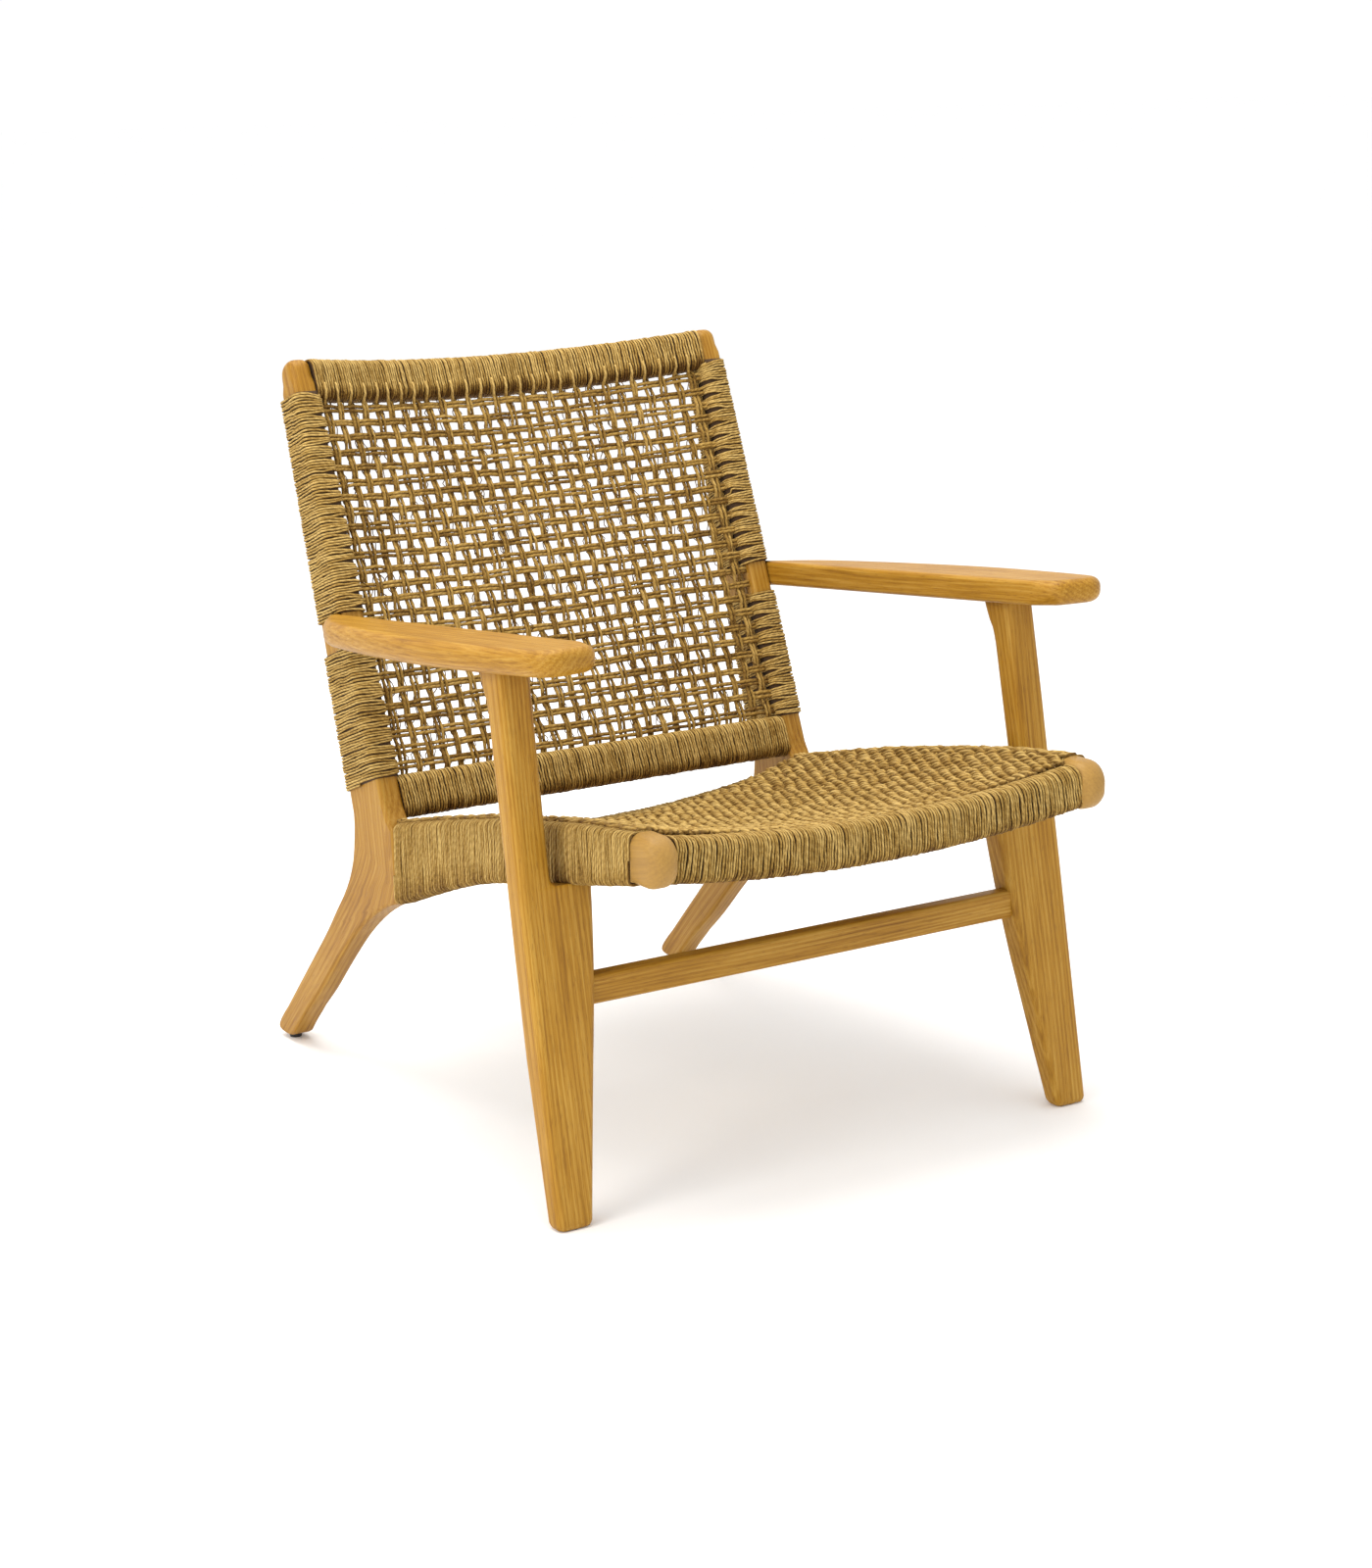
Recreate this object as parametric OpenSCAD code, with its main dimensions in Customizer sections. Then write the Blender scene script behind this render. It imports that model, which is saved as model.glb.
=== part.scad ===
// Lounge armchair: sawn hardwood frame with a cord-wrapped seat and an open cord back.
// Millimetres. Sitter faces -Y, up is +Z, X is the width. Sub-parts are drawn in place.

/* [Overall] */
// outside width over the two side planks
frame_w = 534; // [440:1:645]
// run of the seat from the post foot to the horn centre
seat_run = 483; // [400:1:580]
// height of the seat line at the foot of the back posts
seat_h = 304; // [250:1:370]
// length of the back posts above the seat line
post_len = 493; // [400:1:592]
// backward lean of the back posts in degrees
back_lean = 21.5; // [14:0.5:26]

/* [Side frames] */
// thickness of the sawn side planks
plank_t = 25; // [20:0.5:32]
// depth of a back post at its top
post_top = 33; // [24:0.5:42]
// depth of a back post at the seat line
post_foot = 73; // [60:1:80]
// rebate of the side rails under the cord, each face
rebate = 2; // [1:0.5:3]
// radius of the bare wooden horns
horn_r = 24.5; // [20:0.5:28]
// width of the horns
horn_w = 32; // [28:1:46]

/* [Rails] */
// thickness of the cross rails
rail_t = 22; // [18:0.5:26]
// height of the front seat rail
front_rail_h = 37; // [30:1:42]
// dip of the front seat rail at its middle
front_dip = 17; // [6:1:26]
// height of the rear seat rail
rear_rail_h = 32; // [26:1:36]
// dip of the rear seat rail at its middle
rear_dip = 24; // [8:1:30]
// height of the two back rails
back_rail_h = 38; // [30:1:46]
// backward bow of the top rail at its middle
top_bow = 40; // [10:1:60]
// length of the rail tenons
tenon_l = 15; // [10:1:18]

/* [Arms and legs] */
// widest reach of an arm outside its side plank
arm_reach = 79; // [60:1:95]
// thickness of an arm at the back
arm_t = 27; // [22:0.5:32]
// thickness of the front legs, front to back
leg_t = 31; // [25:0.5:38]
// width of the front legs at the floor
leg_foot_w = 39; // [30:0.5:46]
// width of the front legs at the shoulder under the seat
leg_shoulder_w = 79; // [70:0.5:86]
// height of the stretcher
stretcher_h = 29; // [22:0.5:36]
// thickness of the stretcher
stretcher_t = 20; // [16:0.5:24]
// diameter of the dowels
dowel_d = 8; // [6:0.5:10]

/* [Cord] */
// thickness of the cord as wound on the frame
cord_d = 4; // [2:0.1:5]
// columns of the open back weave
warp_n = 28; // [18:1:34]
// rows of the open back weave
weft_n = 25; // [16:1:28]
// diameter of the warp bundles
warp_d = 4.8; // [3:0.1:6]
// diameter of the weft bundles
weft_d = 5; // [3:0.1:6]
// thickness of the woven seat
seat_t = 6; // [4:0.5:9]
// diameter of the floor glides
glide_d = 15; // [12:0.5:18]

/* [Hidden] */
$fn = 64;

// the drawing is laid out about the seat and then centred on the box of the chair
ky = seat_run / 483;
kz = seat_h / 304;
horn_y = -322 * ky;
foot_back = 434 * ky;
mid_y = (horn_y - horn_r + foot_back) / 2;
xo = frame_w / 2;
xi = xo - plank_t;
xm = xo - plank_t / 2;
fit = 0.1;
free = 0.4;
eps = 0.02;

// point on the side view from post coordinates: s up the post, n backward from its front
base = [161 * ky, seat_h];
function bk(s, n) = [
  base[0] + s * sin(back_lean) + n * cos(back_lean),
  base[1] + s * cos(back_lean) - n * sin(back_lean)
];
function side(p) = [p[0] * ky, p[1] * kz];

// smooth curve through points
function cr(a, b, c, d, t) = 0.5 * (2 * b + (c - a) * t + (2 * a - 5 * b + 4 * c - d) * t * t
  + (3 * b - 3 * c + d - a) * t * t * t);
function spline(P, n) = concat(
  [for (i = [0 : len(P) - 2]) for (j = [0 : n - 1])
    cr(P[max(i - 1, 0)], P[i], P[i + 1], P[min(i + 2, len(P) - 1)], j / n)],
  [P[len(P) - 1]]);

// depth of the bare post at height s
function post_n(s) = post_foot + (post_top - post_foot) * s / (post_len - 12);
post_f = 2.5;
post_r = 13;

// the side plank: post, knee and raked rear leg, drawn in Y and Z
knee_back = [
  side([237, 272]), side([240, 250]), side([248, 228]), side([263, 204]),
  side([285, 178]), side([309, 149]), side([348, 107]), side([391, 61]), side([429, 20])
];
knee_front = [
  side([142, 219]), side([175, 205]), side([210, 185]), side([248, 156]),
  side([290, 116]), side([329, 76]), side([362, 46]), side([391, 19])
];
foot_curve = [
  side([391, 19]), side([396, 12]), side([402, 7.5]), [foot_back - 24 * ky, 5],
  [foot_back - 10 * ky, 5], [foot_back - 4 * ky, 6.5], [foot_back - 0.8 * ky, 10],
  [foot_back, 13 * kz]
];
post_back = [for (i = [0 : 6]) let (s = 14 + (post_len - 14 - post_r) * i / 6) bk(s, post_f + post_n(s))];
post_top_n = post_n(post_len - post_r) + post_f;
top_round = [for (a = [0 : 15 : 90])
  bk(post_len - post_r + post_r * sin(a), post_top_n - post_r + post_r * cos(a))];
top_front = [for (a = [0 : 15 : 90])
  bk(post_len - post_r * 0.6 + post_r * 0.6 * cos(a), post_f + post_r * 0.6 - post_r * 0.6 * sin(a))];
joint_top = side([150, 300]);
joint_low = side([142, 219]);
plank_outline = concat(
  [joint_top], spline(knee_front, 4),
  [for (i = [1 : 7]) foot_curve[i]],
  [for (i = [32 : -1 : 0]) spline(knee_back, 4)[i]],
  post_back, top_round, top_front, [bk(0, post_f)]);

// side rail edges, bare wood, front to back
rail_top = [side([-306, 384]), side([-246, 377]), side([-197, 370]), side([-135, 359]),
  side([-28, 339]), side([85, 313]), side([150, 297])];
rail_low = [side([-306, 341]), side([-236, 326]), side([-186, 316]), side([-130, 304]),
  side([-79, 293]), side([-20, 278]), side([33, 261]), side([86, 242]), side([142, 220])];
function grow(P, d) = [for (p = P) [p[0], p[1] + d]];
function rev(P) = [for (i = [len(P) - 1 : -1 : 0]) P[i]];
rail_outline = concat(spline(rail_low, 4), rev(spline(rail_top, 4)));
rail_x0 = xi + rebate;
rail_x1 = xo - rebate;

// draws a YZ outline as a plank between two X values
module plank(P, x0, x1) {
  translate([x0, 0, 0]) rotate([90, 0, 90]) linear_extrude(x1 - x0) polygon(P);
}
module centred() {
  translate([0, -mid_y, 0]) children();
}
module left() {
  mirror([1, 0, 0]) children();
}
// frame of the back: X across, Y along n, Z along s
module back_frame() {
  translate([0, base[0], base[1]]) rotate([-back_lean, 0, 0]) children();
}
module box(x0, x1, y0, y1, z0, z1) {
  translate([x0, y0, z0]) cube([x1 - x0, y1 - y0, z1 - z0]);
}
module rounded(w, h, r) {
  union() {
    translate([-w / 2 + r, -h / 2]) square([w - 2 * r, h]);
    translate([-w / 2, -h / 2 + r]) square([w, h - 2 * r]);
    for (i = [-1, 1]) for (j = [-1, 1]) translate([i * (w / 2 - r), j * (h / 2 - r)]) circle(r);
  }
}
function arc_r(half, d) = (half * half + d * d) / (2 * d);

// rail dipping in the middle: section t by h, centre of its ends at [y, z]
module dipped(half, dip, t, h, r, y, z) {
  R = arc_r(rail_half, dip);
  intersection() {
    translate([0, y, z - dip + R]) rotate([90, 0, 0]) rotate([0, 0, -90 - 40])
      rotate_extrude(angle = 80, $fn = 360) translate([R, 0]) rotate(90) rounded(t, h, r);
    box(-half, half, y - 60, y + 60, z - 120, z + 90);
  }
}
// rail bowed backward in the back frame: centre of its ends at [n, s]
module bowed(half, bow, t, h, r, n, s) {
  R = arc_r(rail_half, bow);
  back_frame() intersection() {
    translate([0, n + bow - R, s]) rotate([0, 0, 50])
      rotate_extrude(angle = 80, $fn = 360) translate([R, 0]) rounded(t, h, r);
    box(-half, half, n - 60, n + 120, s - 60, s + 60);
  }
}

// rail positions
front_y = horn_y;
front_z = 362.5 * kz;
rear_y = 166 * ky;
rear_z = 270 * kz;
top_s = post_len - 24;
low_s = 22;
rail_n = 14;
rail_half = xi;
front_half = xo - horn_w;
mort = tenon_l + 1;

module front_tenon(k) {
  box(front_half - 12, front_half + tenon_l + k, front_y - 5 - k, front_y + 5 + k,
    front_z - 11 - k, front_z + 11 + k);
}
module rear_tenon(k) {
  box(xi - 14, xi + tenon_l + k, rear_y - 5 - k, rear_y + 5 + k, rear_z - 9 - k, rear_z + 9 + k);
}
module top_tenon(k) {
  back_frame() box(xi - 12, xi + tenon_l + k, rail_n - 5 - k, rail_n + 5 + k,
    top_s - 13 - k, top_s + 13 + k);
}
module low_tenon(k) {
  back_frame() box(xi - 12, xi + tenon_l + k, rail_n - 5 - k, rail_n + 5 + k,
    low_s - 12 - k, low_s + 12 + k);
}
module side_tenon(k) {
  box(xm - 5 - k, xm + 5 + k, joint_low[0] - 20, rear_y - 8 + k,
    joint_low[1] + 20 - k, joint_low[1] + 56 * kz + k);
}

// ---- arms -----------------------------------------------------------------
arm_back = bk(200, 38)[0];
arm_front = -262 * ky;
arm_run = arm_back - arm_front;
arm_top_b = bk(214, 0)[1];
arm_rise = 52 * kz;
arm_low_b = arm_top_b - arm_t;
arm_low_f = arm_top_b + arm_rise - arm_t;
arm_side = [
  [arm_back, arm_low_b], [arm_back, arm_top_b], [arm_front - 12, arm_top_b + arm_rise],
  [arm_front - 12, arm_low_f]
];
function arm_low(y) = arm_low_b + (arm_low_f - arm_low_b) * (arm_back - y) / (arm_run + 12);
arm_in = xo + free;
arm_edge = spline([
  [arm_in - 4, arm_front + 12], [arm_in + 2, arm_front + 3], [arm_in + 14, arm_front - 4],
  [arm_in + 36, arm_front - 8], [arm_in + 56, arm_front - 4],
  [arm_in + arm_reach * 0.88, arm_front + 12], [arm_in + arm_reach * 0.96, arm_front + 42],
  [arm_in + arm_reach, arm_front + 120 * ky], [arm_in + arm_reach * 0.97, arm_front + 215 * ky],
  [arm_in + arm_reach * 0.83, arm_front + 340 * ky], [arm_in + arm_reach * 0.63, arm_front + 445 * ky],
  [arm_in + arm_reach * 0.48, arm_back - 52], [arm_in + arm_reach * 0.25, arm_back - 27],
  [arm_in + 5, arm_back - 6]
], 5);
arm_plan = concat(
  [[arm_in, arm_back], [arm_in, arm_back - 60], [arm_in - 6, arm_front + 30]],
  arm_edge);
module arm() {
  difference() {
    intersection() {
      translate([0, 0, 300]) linear_extrude(500) polygon(arm_plan);
      plank(arm_side, xo - 20, xo + 120);
    }
    arm_pins(fit);
    leg_tenon(fit);
  }
}
pin_z = arm_low_b + arm_t / 2 + 2;
module arm_pins(k) {
  for (z = [-6.5, 6.5])
    translate([xo - 16 - k, arm_back - 22, pin_z + z]) rotate([0, 90, 0])
      cylinder(d = dowel_d + 2 * k, h = 26 + 2 * k);
}

// ---- front legs -------------------------------------------------------------
leg_rake = 10.4;
leg_y = -258 * ky;
leg_xo = xo + 53;
// leg frame: X across, Y backward from its front face, Z up its length
module leg_frame() {
  translate([0, leg_y, 0]) rotate([-leg_rake, 0, 0]) children();
}
function leg_front(z) = leg_y + z * tan(leg_rake);
leg_cross = leg_front(seat_h * 1.03) + leg_t / 2;
function rail_under(y) = lookup(y, [for (p = rail_low) [p[0], p[1]]]);
shoulder_z = rail_under(leg_cross);
sh = shoulder_z / cos(leg_rake);
leg_long = (arm_low(leg_cross) + 60) / cos(leg_rake);
leg_in = leg_xo - 35;
leg_face = concat(
  [[leg_xo - leg_foot_w, -20], [leg_xo - leg_foot_w, 4]],
  spline([[leg_xo - leg_foot_w, 6], [leg_xo - leg_foot_w - 8, sh * 0.2],
    [leg_xo - leg_foot_w - 18, sh * 0.42], [leg_xo - leg_foot_w - 31, sh * 0.7],
    [leg_xo - leg_shoulder_w + 1, sh * 0.95], [leg_xo - leg_shoulder_w, sh + 20]], 3),
  [[leg_in, sh + 20], [leg_in, sh + 40], [leg_in - 8, leg_long],
    [leg_xo - 3, leg_long], [leg_xo - 1, sh * 1.3], [leg_xo, sh * 0.8], [leg_xo, -20]]);
leg_top = (arm_low(leg_cross) - leg_y * 0) / cos(leg_rake);
leg_prof = concat(
  [[0, -20], [0, leg_long]],
  [[leg_t + 10, leg_long]],
  spline([[leg_t + 10, leg_top + 12], [leg_t + 8, leg_top - 9], [leg_t + 4, leg_top - 22],
    [leg_t, leg_top - 40], [leg_t, sh], [leg_t, sh * 0.5], [leg_t - 7, 8]], 4),
  [[leg_t - 7, -20]]);
module leg_blank() {
  intersection() {
    leg_frame() rotate([90, 0, 0]) translate([0, 0, -120]) linear_extrude(160) polygon(leg_face);
    leg_frame() plank(leg_prof, xo - 60, xo + 80);
  }
}
under_arm = [
  [arm_front - 60, arm_low(arm_front - 60)], [arm_back + 40, arm_low(arm_back + 40)],
  [arm_back + 40, 900], [arm_front - 60, 900]
];
module leg_tenon(k) {
  leg_frame() box(leg_xo - 28 - k, leg_xo - 8 + k, 7 - k, leg_t - 6 + k, leg_top - 30, leg_top + 9 + k);
}
module leg_pins(k) {
  for (x = [xm - 6])
    for (y = [8, leg_t - 8])
      leg_frame() translate([x + (y > 10 ? 11 : 0), y, sh - 22 - k])
        cylinder(d = dowel_d + 2 * k, h = 40 + 2 * k);
}
module stretcher_bar(k, x) {
  box(-x, x, str_y - k, str_y + stretcher_t + k, str_z - k, str_z + stretcher_h + k);
}
str_z = 199 * kz;
str_y = leg_front(str_z + stretcher_h / 2) + (leg_t - stretcher_t) / 2 + 0.5;
module str_tenon(k) {
  half = leg_xo - leg_foot_w - 18 + 16;
  box(-half - k, half + k, str_y + 5 - k, str_y + stretcher_t - 5 + k,
    str_z + 4 - k, str_z + stretcher_h - 4 + k);
}
module front_leg() {
  difference() {
    union() {
      difference() {
        leg_blank();
        plank(under_arm, xo - 80, xo + 100);
      }
      leg_tenon(0);
    }
    box(xo - 80, xo + 100, leg_y - 60, leg_y + 60, -60, 0.6);
    leg_notch();
    leg_pins(fit);
    str_tenon(fit);
    front_glide(fit);
  }
}
// room for the side rail and its cord above the shoulder
module leg_notch() {
  plank(concat(spline(rail_low, 4), [[rail_low[8][0], 900], [rail_low[0][0], 900]]),
    xo - 80, leg_in);
}

// ---- cord sleeves -----------------------------------------------------------
module post_sleeve(s0, s1) {
  c0 = post_f - 0.3;
  difference() {
    back_frame() plank([[c0 - cord_d, s0], [post_f + post_n(s0) + 0.3 + cord_d, s0],
      [post_f + post_n(s1) + 0.3 + cord_d, s1], [c0 - cord_d, s1]],
      xi - 0.3 - cord_d, xo + 0.3 + cord_d);
    back_frame() plank([[c0, s0 - 5], [post_f + post_n(s0 - 5) + 0.3, s0 - 5],
      [post_f + post_n(s1 + 5) + 0.3, s1 + 5], [c0, s1 + 5]],
      xi - 0.3, xo + 0.3);
  }
}
module side_sleeve() {
  lo = spline(rail_low, 4);
  hi = spline(rail_top, 4);
  ya = rail_top[0][0] + 2;
  yb = joint_low[0] - 3;
  difference() {
    plank(concat(grow(lo, -cord_d - 0.3), rev(grow(hi, cord_d + 0.3))),
      rail_x0 - 0.3 - cord_d, rail_x1 + 0.3 + cord_d);
    plank(concat(grow(lo, -0.3), rev(grow(hi, 0.3))), rail_x0 - 0.3, rail_x1 + 0.3);
    box(xi - 20, xo + 20, yb, yb + 60, 0, 500);
    box(xi - 20, xo + 20, ya - 60, ya, 0, 500);
    leg_frame() box(xi - 20, xo + 20, -1, leg_t + 1, sh - 40, sh + 15);
  }
}
module dipped_sleeve(half, dip, h, y, z) {
  difference() {
    dipped(half - free, dip, rail_t + 2 * cord_d + 0.6, h + 2 * cord_d + 0.6,
      8 + cord_d, y, z);
    dipped(half + 1, dip, rail_t + 0.6, h + 0.6, 8.3, y, z);
  }
}
module low_sleeve() {
  back_frame() difference() {
    rotate([90, 0, 90]) translate([rail_n, low_s, -rail_half + free])
      linear_extrude(2 * (rail_half - free))
        rounded(rail_t + 2 * cord_d + 0.6, back_rail_h + 2 * cord_d + 0.6, 8 + cord_d);
    rotate([90, 0, 90]) translate([rail_n, low_s, -rail_half - 2])
      linear_extrude(2 * (rail_half + 2)) rounded(rail_t + 0.6, back_rail_h + 0.6, 8.3);
  }
}
sleeve_lo = low_s + back_rail_h / 2 + cord_d + 1.5;
sleeve_hi = top_s - back_rail_h / 2 - cord_d - 1.5;

// ---- woven panels -------------------------------------------------------------
mesh_n = 8;
mesh_half = xi - cord_d - 1;
mesh_s0 = low_s + back_rail_h / 2 + cord_d + 1;
mesh_s1 = top_s - back_rail_h / 2 - cord_d - 1;
top_R = arc_r(rail_half, top_bow);
// setback of the weave at x for a bow b measured over the full width
function set_back(x, b) = let (R = arc_r(rail_half, max(b, 0.5))) sqrt(R * R - x * x) - R + b;
module warp_cord(i) {
  x = -mesh_half + (i + 0.5) * 2 * mesh_half / warp_n;
  d = set_back(x, top_bow);
  len_s = mesh_s1 - mesh_s0;
  lift = d * (mesh_s0 - low_s) / (top_s - low_s);
  top = d * (mesh_s1 - low_s) / (top_s - low_s);
  back_frame() translate([x, mesh_n + lift, mesh_s0])
    rotate([-atan2(top - lift, len_s), 0, 0]) cylinder(d = warp_d, h = norm([top - lift, len_s]), $fn = 24);
}
module weft_cord(j) {
  s = mesh_s0 + (j + 0.5) * (mesh_s1 - mesh_s0) / weft_n;
  b = max(top_bow * (s - low_s) / (top_s - low_s), 1.2);
  R = arc_r(rail_half, b);
  half = asin(mesh_half / R);
  back_frame() translate([0, mesh_n + (warp_d + weft_d) / 2 + 0.9 + b - R, s])
    rotate([0, 0, 90 - half]) rotate_extrude(angle = 2 * half, $fn = 360)
      translate([R, 0]) circle(d = weft_d, $fn = 24);
}

// the seat: a band dished across its width and sloping back
seat_y0 = horn_y + rail_t / 2 + cord_d + 2.5;
seat_y1 = rear_y - rail_t / 2 - cord_d - 4;
seat_half = xi - cord_d + rebate - 2.5;
seat_dip = (front_dip + rear_dip) / 2;
seat_mid0 = front_z - front_dip + front_rail_h / 2 - 3;
seat_mid1 = rear_z - rear_dip + rear_rail_h / 2 - 1;
module seat_band() {
  R = arc_r(seat_half, seat_dip);
  a = atan2(seat_mid1 - seat_mid0, seat_y1 - seat_y0);
  run = (seat_y1 - seat_y0) / cos(a);
  translate([0, seat_y0, seat_mid0]) rotate([a, 0, 0]) intersection() {
    translate([0, run - 1, R]) rotate([90, 0, 0]) difference() {
      cylinder(r = R + seat_t, h = run - 2, $fn = 360);
      translate([0, 0, -1]) cylinder(r = R, h = run + 2, $fn = 360);
    }
    box(-seat_half, seat_half, 0, run, -40, seat_dip + 20);
  }
}

// ---- glides -------------------------------------------------------------------
rear_glide_y = foot_back - 17 * ky;
module rear_glide(k) {
  translate([xm, rear_glide_y, 0]) cylinder(d1 = glide_d - 2, d2 = glide_d, h = 5);
  translate([xm, rear_glide_y, 0]) cylinder(d = 5 + 2 * k, h = 17 + k);
}
module front_glide(k) {
  gx = leg_xo - leg_foot_w / 2;
  gy = leg_y + (leg_t - 7) / 2;
  translate([gx, gy, 0]) cylinder(d = glide_d + 2 * k, h = 3 + k);
  translate([gx, gy, 0]) cylinder(d = 4 + 2 * k, h = 14 + k);
}

// ---- sub-parts -----------------------------------------------------------------
module side_frame() {
  difference() {
    plank(plank_outline, xi, xo);
    side_tenon(fit);
    rear_tenon(fit);
    top_tenon(fit);
    low_tenon(fit);
    arm_pins(fit);
    translate([xm, rear_glide_y, 4]) cylinder(d = 5 + 2 * fit, h = 13 + fit);
  }
}
horn_end = rail_top[0][0] - 1;
module horn_block() {
  box(front_half, xo, horn_y, horn_end, front_z - horn_r, front_z + horn_r);
}
module side_rail() {
  difference() {
    union() {
      intersection() {
        plank(rail_outline, rail_x0, rail_x1);
        box(rail_x0, rail_x1, rail_top[0][0] - 5, joint_low[0], 0, 600);
      }
      intersection() {
        union() {
          translate([front_half, horn_y, front_z]) rotate([0, 90, 0])
            cylinder(r = horn_r, h = horn_w);
          horn_block();
        }
        union() {
          translate([xo - horn_w / 2, horn_y, front_z]) sphere(r = horn_r + 4);
          horn_block();
        }
      }
      box(rail_x0, rail_x1, horn_end - 4, rail_top[0][0] + 1, front_z - 17, front_z + 17);
      side_tenon(0);
    }
    front_tenon(fit);
    leg_pins(fit);
  }
}

module side_frame_right() {
  color("#c9954c") centred() side_frame();
}
module side_frame_left() {
  color("#c9954c") centred() left() side_frame();
}
module side_rail_right() {
  color("#d2a35e") centred() side_rail();
}
module side_rail_left() {
  color("#d2a35e") centred() left() side_rail();
}
module seat_front_rail() {
  color("#c08a45") centred() union() {
    dipped(front_half - fit, front_dip, rail_t, front_rail_h, 8, front_y, front_z);
    front_tenon(0);
    left() front_tenon(0);
  }
}
module seat_rear_rail() {
  color("#c08a45") centred() union() {
    dipped(rail_half, rear_dip, rail_t, rear_rail_h, 8, rear_y, rear_z);
    rear_tenon(0);
    left() rear_tenon(0);
  }
}
module back_top_rail() {
  color("#c08a45") centred() union() {
    bowed(rail_half, top_bow, rail_t, back_rail_h, 8, rail_n, top_s);
    top_tenon(0);
    left() top_tenon(0);
  }
}
module back_lower_rail() {
  color("#c08a45") centred() union() {
    back_frame() rotate([90, 0, 90]) translate([rail_n, low_s, -rail_half])
      linear_extrude(2 * rail_half) rounded(rail_t, back_rail_h, 8);
    low_tenon(0);
    left() low_tenon(0);
  }
}
module arm_right() {
  color("#d8a75c") centred() arm();
}
module arm_left() {
  color("#d8a75c") centred() left() arm();
}
module front_leg_right() {
  color("#cf9a50") centred() front_leg();
}
module front_leg_left() {
  color("#cf9a50") centred() left() front_leg();
}
module stretcher() {
  color("#c08a45") centred() union() {
    difference() {
      stretcher_bar(0, leg_xo - leg_foot_w);
      leg_blank();
      left() leg_blank();
    }
    str_tenon(0);
  }
}
module arm_dowels() {
  color("#b98b52") centred() {
    arm_pins(0);
    left() arm_pins(0);
  }
}
module leg_dowels() {
  color("#b98b52") centred() {
    leg_pins(0);
    left() leg_pins(0);
  }
}
module rear_glides() {
  color("#1c1b1a") centred() {
    rear_glide(0);
    left() rear_glide(0);
  }
}
module front_glides() {
  color("#1c1b1a") centred() {
    front_glide(0);
    left() front_glide(0);
  }
}
module wrap_post_upper_right() {
  color("#b8935d") centred() post_sleeve(wrap_mid1, sleeve_hi);
}
module wrap_post_upper_left() {
  color("#b8935d") centred() left() post_sleeve(wrap_mid1, sleeve_hi);
}
module wrap_post_lower_right() {
  color("#b8935d") centred() post_sleeve(sleeve_lo, wrap_mid0);
}
module wrap_post_lower_left() {
  color("#b8935d") centred() left() post_sleeve(sleeve_lo, wrap_mid0);
}
wrap_mid1 = 234;
wrap_mid0 = 182;
module wrap_top_rail() {
  color("#b8935d") centred() difference() {
    bowed(rail_half - free, top_bow, rail_t + 2 * cord_d + 0.6, back_rail_h + 2 * cord_d + 0.6,
      8 + cord_d, rail_n, top_s);
    bowed(rail_half + 1, top_bow, rail_t + 0.6, back_rail_h + 0.6, 8.3, rail_n, top_s);
  }
}
module wrap_lower_rail() {
  color("#b8935d") centred() low_sleeve();
}
module wrap_side_rail_right() {
  color("#b8935d") centred() side_sleeve();
}
module wrap_side_rail_left() {
  color("#b8935d") centred() left() side_sleeve();
}
module wrap_front_rail() {
  color("#b8935d") centred() dipped_sleeve(front_half, front_dip, front_rail_h, front_y, front_z);
}
module wrap_rear_rail() {
  color("#b8935d") centred() dipped_sleeve(rail_half, rear_dip, rear_rail_h, rear_y, rear_z);
}
module seat_weave() {
  color("#c2a06a") centred() seat_band();
}
module back_warp() {
  color("#ab8750") centred() for (i = [0 : warp_n - 1]) warp_cord(i);
}
module back_weft() {
  color("#a27d48") centred() for (j = [0 : weft_n - 1]) weft_cord(j);
}

side_frame_left();
side_frame_right();
side_rail_left();
side_rail_right();
seat_front_rail();
seat_rear_rail();
back_top_rail();
back_lower_rail();
arm_left();
arm_right();
front_leg_left();
front_leg_right();
stretcher();
arm_dowels();
leg_dowels();
rear_glides();
front_glides();
wrap_post_upper_left();
wrap_post_upper_right();
wrap_post_lower_left();
wrap_post_lower_right();
wrap_top_rail();
wrap_lower_rail();
wrap_side_rail_left();
wrap_side_rail_right();
wrap_front_rail();
wrap_rear_rail();
seat_weave();
back_warp();
back_weft();
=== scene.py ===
"""Lounge armchair: sawn hardwood frame, seat and back of natural cord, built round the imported
frame.

Drawing numbers are millimetres with Y measured from the seat's own zero; put() turns them into the
row frame in metres. Front is -Y, up is +Z."""

import math

import bpy
import numpy as np
from mathutils import Matrix, Vector


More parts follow.
